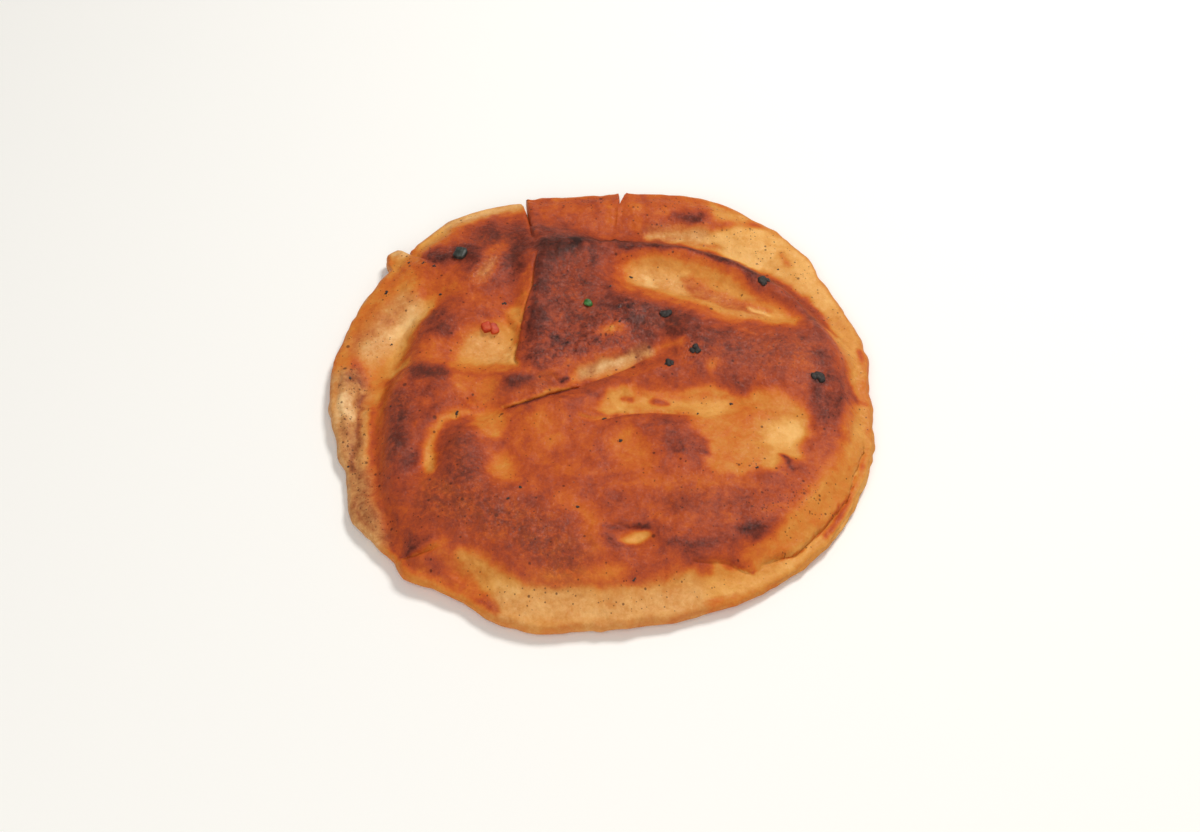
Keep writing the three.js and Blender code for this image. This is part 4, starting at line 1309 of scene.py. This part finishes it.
print("bread is", round(rest(0, 0)[0].z / MM, 1), "mm high at its middle")

# %% [markdown]
# ## Finishes of the bits
# In each finish one noise picks the colour and also makes the bump, so that light spots stand up.
# Char is nearly black with grey ash, and the charred cube is the same, only greener and smoother.
# The red vegetable is soft flesh: some light wanders under its skin, so that it does not look painted.


# %% Finishes of the bits
def bit_finish(name, scale, detail, coarseness, stops, roughness, bump):
    finish = Nodes(name)
    speckle = finish.noise(scale, detail, coarseness)
    finish.settings({"Base Color": finish.ramp(speckle, stops), "Roughness": roughness})
    finish.bump(speckle, *bump)
    return finish


ASH = [(0.3, (22, 18, 16)), (0.55, (44, 36, 31)), (0.8, (92, 84, 76))]
SCORCHED = [(0.3, (24, 26, 23)), (0.55, (46, 50, 45)), (0.78, (92, 98, 90))]
RED_FLESH = [(0.3, (158, 38, 6)), (0.5, (192, 58, 10)), (0.72, (212, 98, 30))]
HERB_GREEN = [(0.3, (28, 66, 24)), (0.5, (56, 114, 46)), (0.75, (106, 162, 88))]

char = bit_finish("char", 700, 5, 0.7, ASH, roughness=0.62, bump=(0.6, 0.0006))
burnt = bit_finish("burnt_cube", 420, 5, 0.65, SCORCHED, roughness=0.5, bump=(0.4, 0.0006))
red = bit_finish("red_vegetable", 330, 4, 0.6, RED_FLESH, roughness=0.58, bump=(0.3, 0.0005))
red.settings({"Subsurface Weight": 0.2, "Subsurface Radius": (1.0, 0.2, 0.08), "Subsurface Scale": 0.002})
green = bit_finish("green_herb", 600, 4, 0.6, HERB_GREEN, roughness=0.45, bump=(0.3, 0.0004))
print("finishes:", [m.material.name for m in (char, burnt, red, green)])

# %% Charred cube, red dice and herb
cube_mesh = bmesh.new()
cube_bit(cube_mesh, (3.1, 2.9, 1.8), 201, 0.5, 0.45)
set_down(cube_mesh, cube_mesh.verts, BITS["charred_cube"], 12, 0.3)
finish_bit("charred_cube", cube_mesh, burnt.material)

LOBES = [
    # half size, seed and place of each lobe of the dice
    ((1.8, 2.2, 1.4), 211, (-1.5, 0.6, 0)),
    ((1.8, 2.3, 1.3), 213, (1.5, -0.7, -0.1)),
]
dice_mesh = bmesh.new()
for half_size, seed, lobe_place in LOBES:
    lobe = bmesh.new()
    cube_bit(lobe, half_size, seed, 0.45, 0.6)
    bmesh.ops.translate(lobe, verts=lobe.verts, vec=Vector(lobe_place) * MM)
    lobe_mesh = bpy.data.meshes.new("lobe")
    lobe.to_mesh(lobe_mesh)
    lobe.free()
    dice_mesh.from_mesh(lobe_mesh)
    bpy.data.meshes.remove(lobe_mesh)
set_down(dice_mesh, dice_mesh.verts, BITS["red_dice"], -15, 0.3)
finish_bit("red_dice", dice_mesh, red.material)

herb_mesh = bmesh.new()
herb = ball_bit(herb_mesh, (1.5, 2.0, 1.2), 221, 0.3)
set_down(herb_mesh, herb, BITS["green_bit"], 20, 0.5)
finish_bit("green_bit", herb_mesh, green.material)
print("three bits set")

# %% [markdown]
# ## Burnt crumbs and flecks
# A burnt crumb is not a ball but a heap of grains, so each is made of several small icospheres.
# The flecks are made the same way, only smaller. One mesh holds all the crumbs and another all the flecks,
# because each lot shares one finish and moves with the bread.

# %% Burnt crumbs and flecks
draw = np.random.default_rng(19)


def crumble(bm, spot, wide, grains):
    """A burnt crumb: a small heap of knobbly grains, pressed into the crust."""
    for _ in range(grains):
        angle = draw.uniform(0, math.tau)
        away = wide * 0.55 * math.sqrt(draw.random())
        size = wide * draw.uniform(0.3, 0.55)
        grain_verts = bmesh.ops.create_icosphere(bm, subdivisions=2, radius=1)["verts"]
        bmesh.ops.scale(bm, verts=grain_verts, vec=Vector((size, size * 0.85, size * 0.5)) * MM)
        knock(grain_verts, int(draw.integers(1000)), size * 0.3, size)
        place = (spot[0] + away * math.cos(angle), spot[1] + away * math.sin(angle))
        set_down(bm, grain_verts, place, math.degrees(angle), size * 0.1)


CRUMBS = {
    "char_by_the_back_ridge": 3.4,
    "char_on_the_hump": 3.2,
    "char_on_the_band": 2.7,
    "char_by_the_crease": 2.5,
    "char_on_the_right": 3.2,
}
CRUMB_GRAINS = 11
FLECK_GRAINS = 3

crumb_mesh = bmesh.new()
for name, wide in CRUMBS.items():
    crumble(crumb_mesh, BITS[name], wide, CRUMB_GRAINS)
finish_bit("burnt_crumbs", crumb_mesh, char.material)

FLECKS = [
    (13, 59), (-58.3, -18), (-30.5, 34), (61.5, -47), (8, -33.5), (1.5, -22), (-31, -57), (12.5, -96.5),
    (-41, 40), (-68.5, 47.5), (-101, -38.5), (7.5, 27), (-28, 46), (-85, -15), (-89, 25.5), (-104, 5),
    (4, 48), (-72, 62.5), (53, -12), (78, 68), (-84, 68), (-77.5, 65.5), (-92.5, 51), (39, -19), (-9, -66),
    (-36, -63),
]
fleck_mesh = bmesh.new()
for spot in FLECKS:
    crumble(fleck_mesh, spot, draw.uniform(0.7, 1.3), FLECK_GRAINS)
finish_bit("burnt_flecks", fleck_mesh, char.material)
print(len(CRUMBS), "crumbs and", len(FLECKS), "flecks")
